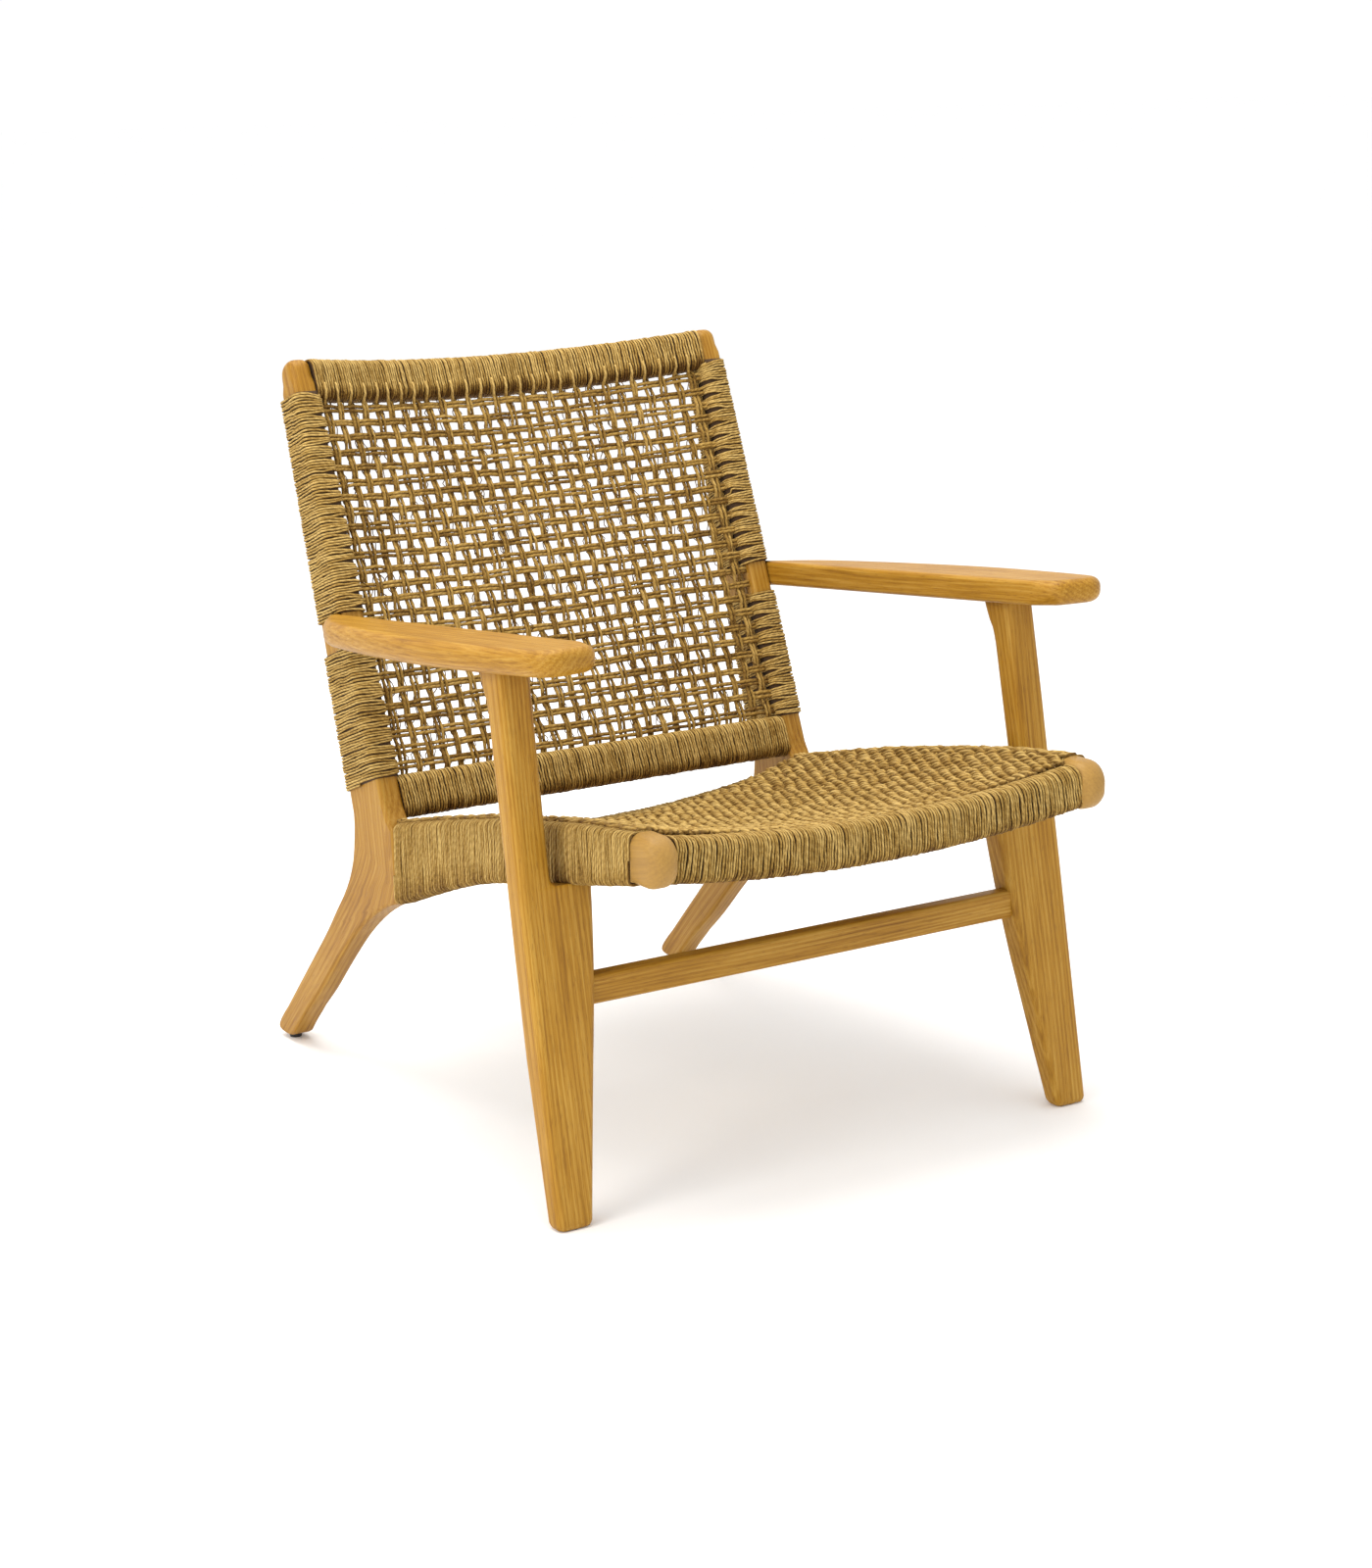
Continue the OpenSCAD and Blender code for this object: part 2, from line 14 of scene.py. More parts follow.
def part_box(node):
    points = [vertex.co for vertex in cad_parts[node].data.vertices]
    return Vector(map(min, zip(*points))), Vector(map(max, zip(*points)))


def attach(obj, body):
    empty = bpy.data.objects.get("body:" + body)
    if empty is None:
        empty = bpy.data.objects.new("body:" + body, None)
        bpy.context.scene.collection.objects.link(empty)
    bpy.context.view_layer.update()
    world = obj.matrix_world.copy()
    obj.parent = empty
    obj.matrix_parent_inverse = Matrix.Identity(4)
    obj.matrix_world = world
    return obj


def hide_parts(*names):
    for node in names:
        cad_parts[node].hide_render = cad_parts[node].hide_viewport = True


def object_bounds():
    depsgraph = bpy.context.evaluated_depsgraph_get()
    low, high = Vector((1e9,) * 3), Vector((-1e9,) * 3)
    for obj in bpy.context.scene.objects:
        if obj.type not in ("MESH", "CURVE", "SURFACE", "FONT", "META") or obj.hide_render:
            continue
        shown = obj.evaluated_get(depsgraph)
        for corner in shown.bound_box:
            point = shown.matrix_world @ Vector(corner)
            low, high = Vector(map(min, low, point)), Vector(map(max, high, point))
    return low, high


bl_info = {
    "name": "Corded lounge armchair",
    "version": (1, 0, 0),
    "blender": (4, 5, 0),
    "location": "View3D > Sidebar > Armchair",
    "description": "Builds the wood, the cord windings and the woven panels of a lounge armchair",
    "category": "Add Mesh",
}

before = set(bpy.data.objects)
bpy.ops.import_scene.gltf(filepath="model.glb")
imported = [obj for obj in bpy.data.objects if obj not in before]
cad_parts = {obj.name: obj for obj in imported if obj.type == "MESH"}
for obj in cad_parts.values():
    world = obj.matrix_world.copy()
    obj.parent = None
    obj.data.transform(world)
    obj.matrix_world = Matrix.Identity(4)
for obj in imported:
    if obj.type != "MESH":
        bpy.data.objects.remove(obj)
cad_low, cad_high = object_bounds()

RIGHT_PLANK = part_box("side_frame_right")
OUTER = RIGHT_PLANK[1].x * 1000  # outer face of a side plank
INNER = RIGHT_PLANK[0].x * 1000  # inner face
MID_X = (OUTER + INNER) / 2
SHIFT = -322 - 24.5 - cad_low.y * 1000  # drawing Y minus row Y
LEAN = math.radians(21.5)
RAKE = math.radians(10.4)
BEND = 161  # Y at the foot of the back posts' front line
SEAT_LINE = 304  # Z of the same place
LEG_FRONT = -258  # Y of a front leg's front face at the floor
SPAN = 242.0  # half the clear width between the posts, where the bowed and dipped rails end
TOP_BOW = 40.0  # how far the top rail's middle stands back


# ---- numbers a user may change -----------------------------------------------------------------


def length(name, mm, text):
    """A length property with its default given in millimetres."""
    return bpy.props.FloatProperty(
        name=name, description=text, default=mm / 1000, min=0.0, unit="LENGTH", precision=4
    )


def colour(name, value, text):
    """A colour property, linear red, green and blue."""
    return bpy.props.FloatVectorProperty(
        name=name, description=text, default=value, size=3, min=0.0, max=1.0, subtype="COLOR"
    )


class ArmchairSizes(bpy.types.PropertyGroup):
    edge: length("Plank edge rounding", 4.5, "Radius of the long edges of the side planks")
    arm_edge: length("Arm edge rounding", 10.5, "Radius of the outer and front edges of the arms")
    horn: length("Horn width", 32.0, "Width of the rounded horns")
    leg_edge: length("Leg edge rounding", 7.0, "Corner radius of the front legs")
    cord: length("Cord thickness", 2.8, "Thickness of the cord wound on the rails and posts")
    pitch: length("Turn spacing", 3.0, "Distance from one turn of a winding to the next")
    mesh_cord: length("Back cord thickness", 4.1, "Thickness of one cord of the open back")
    seat_cord: length("Seat cord thickness", 5.3, "Thickness of one cord of the seat")
    columns: bpy.props.IntProperty(
        name="Back columns", description="Cord pairs up the back", default=28, min=3
    )
    rows: bpy.props.IntProperty(
        name="Back rows", description="Cord pairs across the back", default=25, min=3
    )
    seat_runs: bpy.props.IntProperty(
        name="Seat cords", description="Cords from the front to the back of the seat",
        default=92, min=4,
    )
    seat_rows: bpy.props.IntProperty(
        name="Seat rows", description="Cords across the seat", default=42, min=4
    )
    wander: length("Winding unevenness", 0.7, "How far a turn strays from its even place")


class ArmchairColours(bpy.types.PropertyGroup):
    wood_light: colour("Wood light", (0.50, 0.285, 0.048), "Pale wood between the grain lines")
    wood_mid: colour("Wood middle", (0.37, 0.178, 0.014), "Usual wood colour")
    wood_dark: colour("Wood dark", (0.16, 0.060, 0.004), "Grain lines and pores")
    horn_wood: colour("Horn wood", (0.37, 0.225, 0.07), "Drier wood of the horns")
    cord_light: colour("Cord light", (0.62, 0.42, 0.135), "Sun-bleached straw")
    cord_mid: colour("Cord middle", (0.37, 0.22, 0.048), "Usual straw colour")
    # cord_dark also serves as the painted shade in the gaps between turns and in the ply grooves
    cord_dark: colour("Cord dark", (0.10, 0.045, 0.007), "Brown strands and the gaps between turns")
    # painted shade: the near-black brown that stands for the shadow between the turns
    core: colour("Core", (0.035, 0.016, 0.004), "What shows in the shade between the turns")
    backdrop: colour("Backdrop", (0.97, 0.97, 0.97), "Floor and backdrop")
    glide: colour("Glide", (0.012, 0.011, 0.011), "Moulded glides")


def sizes():
    """The sizes in millimetres, as plain numbers."""
    s = bpy.context.scene.armchair_sizes
    out = {k: getattr(s, k) * 1000 for k in (
        "edge", "arm_edge", "horn", "leg_edge", "cord", "pitch", "mesh_cord", "seat_cord",
        "wander")}
    out.update({k: getattr(s, k) for k in ("columns", "rows", "seat_runs", "seat_rows")})
    return out


# ---- drawing helpers ---------------------------------------------------------------------------


def put(p):
    """Drawing millimetres to row metres."""
    p = np.asarray(p, float) / 1000
    return p - np.array([0, SHIFT / 1000, 0])


def back_point(x, n, s):
    """A point of the leaning back: x across, n behind the post fronts, s up along the posts."""
    x, n, s = np.broadcast_arrays(np.asarray(x, float), n, s)
    return np.stack([
        x,
        BEND + s * math.sin(LEAN) + n * math.cos(LEAN),
        SEAT_LINE + s * math.cos(LEAN) - n * math.sin(LEAN),
    ], -1)


def leg_point(x, n, h):
    """A point of a raked front leg: n behind its front face, h up along the leg."""
    x, n, h = np.broadcast_arrays(np.asarray(x, float), n, h)
    return np.stack([
        x,
        LEG_FRONT + n * math.cos(RAKE) + h * math.sin(RAKE),
        h * math.cos(RAKE) - n * math.sin(RAKE),
    ], -1)


def smooth_line(points, n):
    """Cubic curve through the points, n steps to each gap: each piece is the cubic that leaves and
    meets its points along the line between their neighbours."""
    P = np.asarray(points, float)
    A = np.vstack([P[:1], P[:-1]])[:-1]
    B, C = P[:-1], P[1:]
    D = np.vstack([P[2:], P[-1:]])
    t = (np.arange(n) / n)[None, :, None]
    A, B, C, D = (q[:, None, :] for q in (A, B, C, D))
    out = 0.5 * (2 * B + (C - A) * t + (2 * A - 5 * B + 4 * C - D) * t**2
                 + (3 * B - 3 * C + D - A) * t**3)
    return np.vstack([out.reshape(-1, P.shape[1]), P[-1:]])


def even(P, n):
    """n points spread evenly by arc length along the line P."""
    P = np.asarray(P, float)
    d = np.concatenate([[0], np.cumsum(np.linalg.norm(np.diff(P, axis=0), axis=1))])
    t = np.linspace(0, d[-1], n)
    return np.stack([np.interp(t, d, P[:, k]) for k in range(P.shape[1])], -1)


def soften(P, times):
    """Rounds the corners of a closed outline: each pass is a 1-2-1 average with the neighbours."""
    for _ in range(times):
        P = (np.roll(P, 1, 0) + 2 * P + np.roll(P, -1, 0)) / 4
    return P


def noise_line(t, seed):
    """Smooth random line: random heights at whole numbers of t, joined by cosine steps, -1 to 1."""
    rng = np.random.default_rng(seed)
    k = rng.uniform(-1, 1, 4096)
    i = np.floor(t).astype(int)
    f = t - i
    f = f * f * (3 - 2 * f)
    return k[i % 4096] * (1 - f) + k[(i + 1) % 4096] * f


def noise_field(u, v, seed):
    """Smooth random field over two numbers: random heights on a whole-number grid,
    cosine-blended."""
    rng = np.random.default_rng(seed)
    k = rng.uniform(-1, 1, (256, 256))
    i, j = np.floor(u).astype(int), np.floor(v).astype(int)
    f, g = u - i, v - j
    f, g = f * f * (3 - 2 * f), g * g * (3 - 2 * g)
    i, j = i % 256, j % 256
    i1, j1 = (i + 1) % 256, (j + 1) % 256
    return ((k[i, j] * (1 - f) + k[i1, j] * f) * (1 - g)
            + (k[i, j1] * (1 - f) + k[i1, j1] * f) * g)


def unit(v):
    """The vectors shortened or stretched to length one."""
    return v / np.maximum(np.linalg.norm(v, axis=-1, keepdims=True), 1e-9)


def new_piece(name, verts, quads, caps=(), uv=None, grain=None, tone=None, slot=None,
              stands_for=(), mirror=False):
    """Puts numpy arrays into one mesh object that rides on the frame. quads is (n,4); caps is a
    list of longer rings; uv is (loops,2); grain is a vector and tone a number for each vertex."""
    v = put(verts.reshape(-1, 3))
    quads = np.asarray(quads, np.int32).reshape(-1, 4)
    rings = [np.asarray(c, np.int32) for c in caps]
    if mirror:
        v = v * np.array([-1, 1, 1])
        quads = quads[:, ::-1]
        rings = [c[::-1] for c in rings]
        if uv is not None:
            n = len(quads) * 4
            uv = np.vstack([uv[:n].reshape(-1, 4, 2)[:, ::-1].reshape(-1, 2), uv[n:]])
    loops = np.concatenate([quads.ravel(), *rings]) if rings else quads.ravel()
    totals = np.concatenate([np.full(len(quads), 4), [len(c) for c in rings]]).astype(np.int32)
    starts = np.concatenate([[0], np.cumsum(totals)[:-1]]).astype(np.int32)
    me = bpy.data.meshes.new(name)
    me.vertices.add(len(v))
    me.vertices.foreach_set("co", v.astype(np.float32).ravel())
    me.loops.add(len(loops))
    me.loops.foreach_set("vertex_index", loops)
    me.polygons.add(len(starts))
    me.polygons.foreach_set("loop_start", starts)
    me.polygons.foreach_set("use_smooth", np.ones(len(starts), bool))
    if uv is not None:
        full = np.zeros((len(loops), 2), np.float32)
        full[: len(uv)] = uv
        me.uv_layers.new(name="cord").data.foreach_set("uv", full.ravel())
    if grain is not None:
        a = me.attributes.new("grain", "FLOAT_VECTOR", "POINT")
        a.data.foreach_set("vector", (grain.reshape(-1, 3) / 1000).astype(np.float32).ravel())
    if tone is not None:
        a = me.attributes.new("tone", "FLOAT", "POINT")
        a.data.foreach_set("value", tone.astype(np.float32).ravel())
    me.update(calc_edges=True)
    if me.validate():
        raise RuntimeError(name + ": the mesh had faults")
    ob = bpy.data.objects.new(name, me)
    bpy.context.scene.collection.objects.link(ob)
    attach(ob, "root")
    if stands_for:
        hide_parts(*stands_for)
    return ob


def grid_faces(rows, cols, base=0):
    """Quads of a grid whose columns close into rings: row i to row i+1, column j to column j+1."""
    i, j = np.meshgrid(np.arange(rows - 1), np.arange(cols), indexing="ij")
    a, b = i * cols + j, i * cols + (j + 1) % cols
    return (np.stack([a, b, b + cols, a + cols], -1) + base).reshape(-1, 4)


def rounded_ring(a, b, r, arc=6):
    """Rings of rectangles with round corners, half sizes a and b and radius r for each ring: each
    corner is a quarter circle about its own centre. Returns (rings, points, 2)."""
    a, b, r = (np.asarray(q, float)[:, None] for q in (a, b, r))
    t = np.linspace(0, np.pi / 2, arc + 1)[None]
    xs, ys = [], []
    for k, (sx, sy) in enumerate(((1, 1), (-1, 1), (-1, -1), (1, -1))):
        g = t + k * np.pi / 2
        xs.append(sx * (a - r) + r * np.cos(g))
        ys.append(sy * (b - r) + r * np.sin(g))
    return np.stack([np.concatenate(xs, 1), np.concatenate(ys, 1)], -1)


def loft(sections, arc=6):
    """A bar through sections (centre, axis A, axis B, half a, half b, radius r): the ring of each
    section is a rectangle with round corners, and the rings are joined in order and capped flat."""
    C, A, B, a, b, r = (np.asarray(q, float) for q in sections)
    ring = rounded_ring(a, b, r, arc)
    V = C[:, None] + A[:, None] * ring[..., :1] + B[:, None] * ring[..., 1:]
    m = ring.shape[1]
    first = C[0] + (V[0] - C[0]) * 0.6
    last = C[-1] + (V[-1] - C[-1]) * 0.6
    V = np.concatenate([first[None], V, last[None]])
    faces = grid_faces(len(V), m)
    caps = [np.arange(m)[::-1], np.arange(m) + (len(V) - 1) * m]
    return V, faces, caps


def slab(P, place, t, r, steps=6):
    """A board cut to the closed outline P with rounded edges. Ring k stands r(1-cos w) in from
    a face and r(1-sin w) inside the outline, w from 0 to a quarter turn; flat faces fill both
    sides."""
    P = np.asarray(P, float)
    d = unit(np.roll(P, -1, 0) - np.roll(P, 1, 0))
    out = np.stack([d[:, 1], -d[:, 0]], -1)
    area = np.sum(P[:, 0] * np.roll(P[:, 1], -1) - np.roll(P[:, 0], -1) * P[:, 1])
    out *= 1 if area > 0 else -1
    w = np.linspace(0, np.pi / 2, steps + 1)
    r = np.broadcast_to(np.asarray(r, float), (len(P),))
    inset = [r + 1.2] + [r * (1 - np.sin(q)) for q in w]
    depth = [0 * r] + [r * (1 - np.cos(q)) for q in w]
    rings = [place(P - out * i[:, None], h) for i, h in zip(inset, depth)]
    rings += [place(P - out * i[:, None], t - h) for i, h in zip(inset[::-1], depth[::-1])]
    V = np.array(rings)
    n = len(P)
    return V, grid_faces(len(V), n), [np.arange(n)[::-1], np.arange(n) + (len(V) - 1) * n]


def facing_out(V, faces, caps):
    """Turns the faces over if the closed shape they make has a negative volume."""
    p = V.reshape(-1, 3)
    q = np.asarray(faces).reshape(-1, 4)
    a, b, c, d = (p[q[:, k]] for k in range(4))
    vol = np.einsum("ij,ij->", a, np.cross(b, c)) + np.einsum("ij,ij->", a, np.cross(c, d))
    for ring in caps:
        m = p[ring]
        vol += np.einsum("ij,ij->", np.broadcast_to(m[0], m[1:-1].shape),
                         np.cross(m[1:-1], m[2:]))
    if vol < 0:
        return q[:, ::-1], [c[::-1] for c in caps]
    return q, caps


def cords(paths, side, radius, sides=6):
    """Round cords. Each path (k, n, 3) carries a circle of the given radius, whose first axis
    is the part of side square to the path and whose second is square to both. Returns vertices,
    quads, end rings and the UV: across the cord in turns, along it in metres."""
    P = np.asarray(paths, float)
    k, n = P.shape[:2]
    T = unit(np.gradient(P, axis=1))
    S = np.broadcast_to(side, P.shape)
    S = unit(S - T * np.sum(S * T, -1, keepdims=True))
    B = np.cross(T, S)
    g = np.arange(sides) / sides * 2 * np.pi
    R = np.broadcast_to(np.asarray(radius, float), P.shape[:2])[..., None, None]
    V = P[:, :, None] + R * (S[:, :, None] * np.cos(g)[None, None, :, None]
                             + B[:, :, None] * np.sin(g)[None, None, :, None])
    run = np.concatenate([np.zeros((k, 1)), np.cumsum(
        np.linalg.norm(np.diff(P, axis=1), axis=-1), axis=1)], 1) / 1000
    run = run + np.arange(k)[:, None] * 0.73
    base = (np.arange(k) * n * sides)[:, None, None]
    i, j = np.meshgrid(np.arange(n - 1), np.arange(sides), indexing="ij")
    a, b = i * sides + j, i * sides + (j + 1) % sides
    quads = (np.stack([a, b, b + sides, a + sides], -1)[None] + base[..., None]).reshape(-1, 4)
    u0 = np.broadcast_to((j / sides)[None], (k,) + j.shape)
    v0 = np.broadcast_to(run[:, :-1, None], u0.shape)
    v1 = np.broadcast_to(run[:, 1:, None], u0.shape)
    u1 = u0 + 1 / sides
    uv = np.stack([np.stack(q, -1) for q in ((u0, v0), (u1, v0), (u1, v1), (u0, v1))], -2)
    ends = []
    for c in range(k):
        ends.append(np.arange(sides)[::-1] + c * n * sides)
        ends.append(np.arange(sides) + (c * n + n - 1) * sides)
    return V, quads, ends, uv.reshape(-1, 2)


def cord_piece(name, groups, material, sides=6, slot="cord_wrap", stands_for=(), mirror=False):
    """One object from several lots of cords, each lot (paths, side, radius, tone)."""
    Vs, Qs, Es, Us, Ts, base = [], [], [], [], [], 0
    for paths, side, radius, tone in groups:
        V, Q, E, U = cords(paths, side, radius, sides)
        V = V.reshape(-1, 3)
        Vs.append(V)
        Qs.append(Q + base)
        Es += [e + base for e in E]
        Us.append(U)
        tone = np.broadcast_to(np.asarray(tone, float), paths.shape[:2])
        Ts.append(np.repeat(tone.reshape(-1), sides))
        base += len(V)
    ob = new_piece(name, np.vstack(Vs), np.vstack(Qs), Es, uv=np.vstack(Us),
                   tone=np.concatenate(Ts), slot=slot, stands_for=stands_for, mirror=mirror)
    ob.data.materials.append(material)


SIDES = (("right", False), ("left", True))


def timber_pair(name, node, shape, grain, moves, material):
    """A wooden piece of the right side and its mirror copy. Each side's grain is moved by its own
    amount, so that the two boards differ."""
    for (side, mirror), move in zip(SIDES, moves):
        ob = new_piece(name + side, *shape, grain=grain + move, slot="hardwood",
                       stands_for=(node + side,), mirror=mirror)
        ob.data.materials.append(material)


# ---- materials ---------------------------------------------------------------------------------


class Nodes:
    """Short way to write a node tree."""

    def __init__(self, name):
        self.m = bpy.data.materials.get(name) or bpy.data.materials.new(name)
        self.m.use_nodes = True
        self.t = self.m.node_tree
        self.t.nodes.clear()
        self.out = self.t.nodes.new("ShaderNodeOutputMaterial")
        self.shader = self.t.nodes.new("ShaderNodeBsdfPrincipled")
        self.link(self.shader.outputs[0], self.out.inputs[0])

    def link(self, a, b):
        """Joins output a to input b."""
        self.t.links.new(a, b)

    def add(self, kind, **kw):
        """A new shader node of this kind with the given settings."""
        n = self.t.nodes.new("ShaderNode" + kind)
        for k, v in kw.items():
            setattr(n, k, v)
        return n

    def feed(self, socket, value):
        """Links an output to the socket, or sets the socket to a number or colour."""
        if hasattr(value, "is_output"):
            self.link(value, socket)
        else:
            socket.default_value = value

    def math(self, op, a, b=0.0, c=None):
        """One arithmetic node of two or three numbers."""
        n = self.add("Math", operation=op)
        self.feed(n.inputs[0], a)
        self.feed(n.inputs[1], b)
        if c is not None:
            self.feed(n.inputs[2], c)
        return n.outputs[0]

    def noise(self, vec, scale, detail=3.0, rough=0.55):
        """Noise over a place, as a number about one half."""
        n = self.add("TexNoise")
        self.link(vec, n.inputs["Vector"])
        n.inputs["Scale"].default_value = scale
        n.inputs["Detail"].default_value = detail
        n.inputs["Roughness"].default_value = rough
        return n.outputs["Fac"]

    def mapping(self, vec, scale=(1, 1, 1), rot=(0, 0, 0)):
        """The place stretched by scale after a turn by rot."""
        n = self.add("Mapping")
        self.link(vec, n.inputs["Vector"])
        n.inputs["Scale"].default_value = scale
        n.inputs["Rotation"].default_value = rot
        return n.outputs[0]

    def ramp(self, fac, stops):
        """Colour by number, straight between the stops."""
        n = self.add("ValToRGB")
        self.link(fac, n.inputs[0])
        e = n.color_ramp.elements
        while len(e) < len(stops):
            e.new(0.5)
        for el, (p, c) in zip(e, stops):
            el.position = p
            el.color = (*c, 1)
        return n.outputs[0]

    def mix(self, fac, a, b):
        """Colour a going over to colour b as fac goes from 0 to 1."""
        n = self.add("Mix", data_type="RGBA")
        self.feed(n.inputs[0], fac)
        self.feed(n.inputs[6], (*a, 1) if isinstance(a, tuple) and len(a) == 3 else a)
        self.feed(n.inputs[7], (*b, 1) if isinstance(b, tuple) and len(b) == 3 else b)
        return n.outputs[2]

    def bump(self, height, strength, distance):
        """Relief on the shader from a height."""
        n = self.add("Bump")
        n.inputs["Strength"].default_value = strength
        n.inputs["Distance"].default_value = distance
        self.link(height, n.inputs["Height"])
        self.link(n.outputs[0], self.shader.inputs["Normal"])


def colours():
    """The colours as plain tuples."""
    c = bpy.context.scene.armchair_colours
    return {k: tuple(getattr(c, k)) for k in (
        "wood_light", "wood_mid", "wood_dark", "horn_wood", "cord_light", "cord_mid", "cord_dark",
        "core", "glide", "backdrop")}


def wood(name, source="grain", turn=(0, 0, 0), pale=0.0, lines=0.13, deep=0.0):
    """Oiled straight-grained wood. Growth lines are a sine of the distance from a far-off
    heart, bent a little by slow noise that is long down the grain; streaks and pores are fine
    noise stretched down the grain; cloud is a soft change of tone over a hand's width."""
    c = colours()
    k = Nodes(name)
    if source == "grain":
        at = k.add("Attribute", attribute_name="grain", attribute_type="GEOMETRY")
        vec = at.outputs["Vector"]
    else:
        vec = k.add("TexCoord").outputs["Object"]
    vec = k.mapping(vec, rot=turn)
    slow = k.noise(k.mapping(vec, scale=(9, 9, 1.1)), 1.0, 2.0, 0.5)
    sep = k.add("SeparateXYZ")
    k.link(vec, sep.inputs[0])
    x = k.math("ADD", sep.outputs[0], 0.24)
    y = k.math("ADD", sep.outputs[1], 0.11)
    far = k.math("SQRT", k.math("ADD", k.math("MULTIPLY", x, x), k.math("MULTIPLY", y, y)))
    rings = k.math("ADD", far, k.math("MULTIPLY", slow, 0.045))
    line = k.math("MULTIPLY_ADD", k.math("SINE", k.math("MULTIPLY", rings, 1450.0)), 0.5, 0.5)
    fine = k.math("MULTIPLY_ADD", k.math("SINE", k.math("MULTIPLY", rings, 3900.0)), 0.5, 0.5)
    streak = k.noise(k.mapping(vec, scale=(520, 520, 11)), 1.0, 4.0, 0.62)
    broad = k.noise(k.mapping(vec, scale=(120, 120, 5)), 1.0, 2.0, 0.5)
    pores = k.noise(k.mapping(vec, scale=(1500, 1500, 85)), 1.0, 2.0, 0.5)
    cloud = k.noise(k.mapping(vec, scale=(24, 24, 7)), 1.0, 3.0, 0.6)
    tone = k.math("MULTIPLY_ADD", line, lines, k.math("MULTIPLY", fine, lines / 3))
    tone = k.math("MULTIPLY_ADD", streak, 0.62, tone)
    tone = k.math("MULTIPLY_ADD", broad, 0.30, tone)
    tone = k.math("MULTIPLY_ADD", cloud, 0.36, tone)
    base = k.ramp(tone, [(0.42, c["wood_dark"]), (0.70, c["wood_mid"]), (0.95, c["wood_light"])])
    pore = k.ramp(pores, [(0.30, (1, 1, 1)), (0.42, (0, 0, 0))])
    base = k.mix(k.math("MULTIPLY", pore, 0.5), base, c["wood_dark"])
    if pale:
        base = k.mix(pale, base, c["horn_wood"])
    if deep:
        base = k.mix(deep, base, c["wood_dark"])
    k.link(base, k.shader.inputs["Base Color"])
    k.link(k.ramp(streak, [(0.2, (0.52,) * 3), (0.8, (0.38,) * 3)]), k.shader.inputs["Roughness"])
    k.shader.inputs["Specular IOR Level"].default_value = 0.22
    k.bump(k.math("ADD", streak, k.math("MULTIPLY", pore, -0.6)), 0.3, 0.0005)
    return k.m


def cord_material(name, shade, lay=0.008, sides=0.82, plies=0.38):
    """Twisted natural cord. The plies are a sine of turns round the cord plus length over lay,
    which makes slanting ridges with painted shade in the grooves between plies; fibres are
    noise stretched along the cord; tone lifts or sinks a strand. The flanks, where a cord lies
    against its neighbours, fall towards dark as the cosine of the angle from the outer line
    grows, as painted shade, and bits of fibre stand out light. shade sinks the whole."""
    light, mid, dark = (colours()[q] for q in ("cord_light", "cord_mid", "cord_dark"))
    k = Nodes(name)
    uv = k.add("UVMap", uv_map="cord").outputs[0]
    sep = k.add("SeparateXYZ")
    k.link(uv, sep.inputs[0])
    u, v = sep.outputs[0], sep.outputs[1]
    turn = k.math("ADD", k.math("MULTIPLY", u, 2.0), k.math("MULTIPLY", v, 1 / lay))
    ply = k.math("MULTIPLY_ADD", k.math("SINE", k.math("MULTIPLY", turn, 2 * math.pi)), 0.5, 0.5)
    groove = k.math("POWER", ply, 0.6)
    pos = k.add("CombineXYZ")
    k.link(k.math("MULTIPLY", turn, 3.0), pos.inputs[0])
    k.link(k.math("MULTIPLY", v, 140.0), pos.inputs[1])
    fibre = k.noise(pos.outputs[0], 1.6, 3.0, 0.7)
    obj = k.add("TexCoord").outputs["Object"]
    fleck = k.noise(k.mapping(obj, scale=(330, 330, 330)), 1.0, 2.0, 0.6)
    patch = k.noise(k.mapping(obj, scale=(45, 45, 45)), 1.0, 3.0, 0.6)
    tone = k.add("Attribute", attribute_name="tone", attribute_type="GEOMETRY").outputs["Fac"]
    t = k.math("MULTIPLY_ADD", fibre, 0.50, 0.02 - shade)
    t = k.math("MULTIPLY_ADD", fleck, 0.42, t)
    t = k.math("MULTIPLY_ADD", patch, 0.10, t)
    t = k.math("MULTIPLY_ADD", tone, 0.22, t)
    base = k.ramp(t, [(0.30, dark), (0.50, mid), (0.76, light)])
    # painted shade in the grooves between the plies
    base = k.mix(k.math("MULTIPLY", k.math("SUBTRACT", 1.0, groove), plies), base, dark)
    # painted shade on the flanks, where a cord lies against its neighbours
    flank = k.math("ABSOLUTE", k.math("COSINE", k.math("MULTIPLY", u, 2 * math.pi)))
    flank = k.math("POWER", flank, 2.2)
    base = k.mix(k.math("MULTIPLY", flank, sides), base, dark)
    k.link(base, k.shader.inputs["Base Color"])
    k.shader.inputs["Roughness"].default_value = 0.78
    k.shader.inputs["Specular IOR Level"].default_value = 0.12
    k.shader.inputs["Sheen Weight"].default_value = 0.03
    k.shader.inputs["Sheen Roughness"].default_value = 0.5
    k.bump(k.math("ADD", groove, k.math("MULTIPLY", fibre, 0.7)), 0.6, 0.0006)
    return k.m


def painted_shade_material(name):
    """Rail wood and inner cord layer under the turns: painted shade, a near-black brown that
    stands for the shadow between the turns, mottled by soft noise."""
    c = colours()
    k = Nodes(name)
    obj = k.add("TexCoord").outputs["Object"]
    n = k.noise(obj, 160.0, 3.0)
    k.link(k.mix(n, c["core"], tuple(2.0 * q for q in c["core"])), k.shader.inputs["Base Color"])
    k.shader.inputs["Roughness"].default_value = 0.9
    return k.m


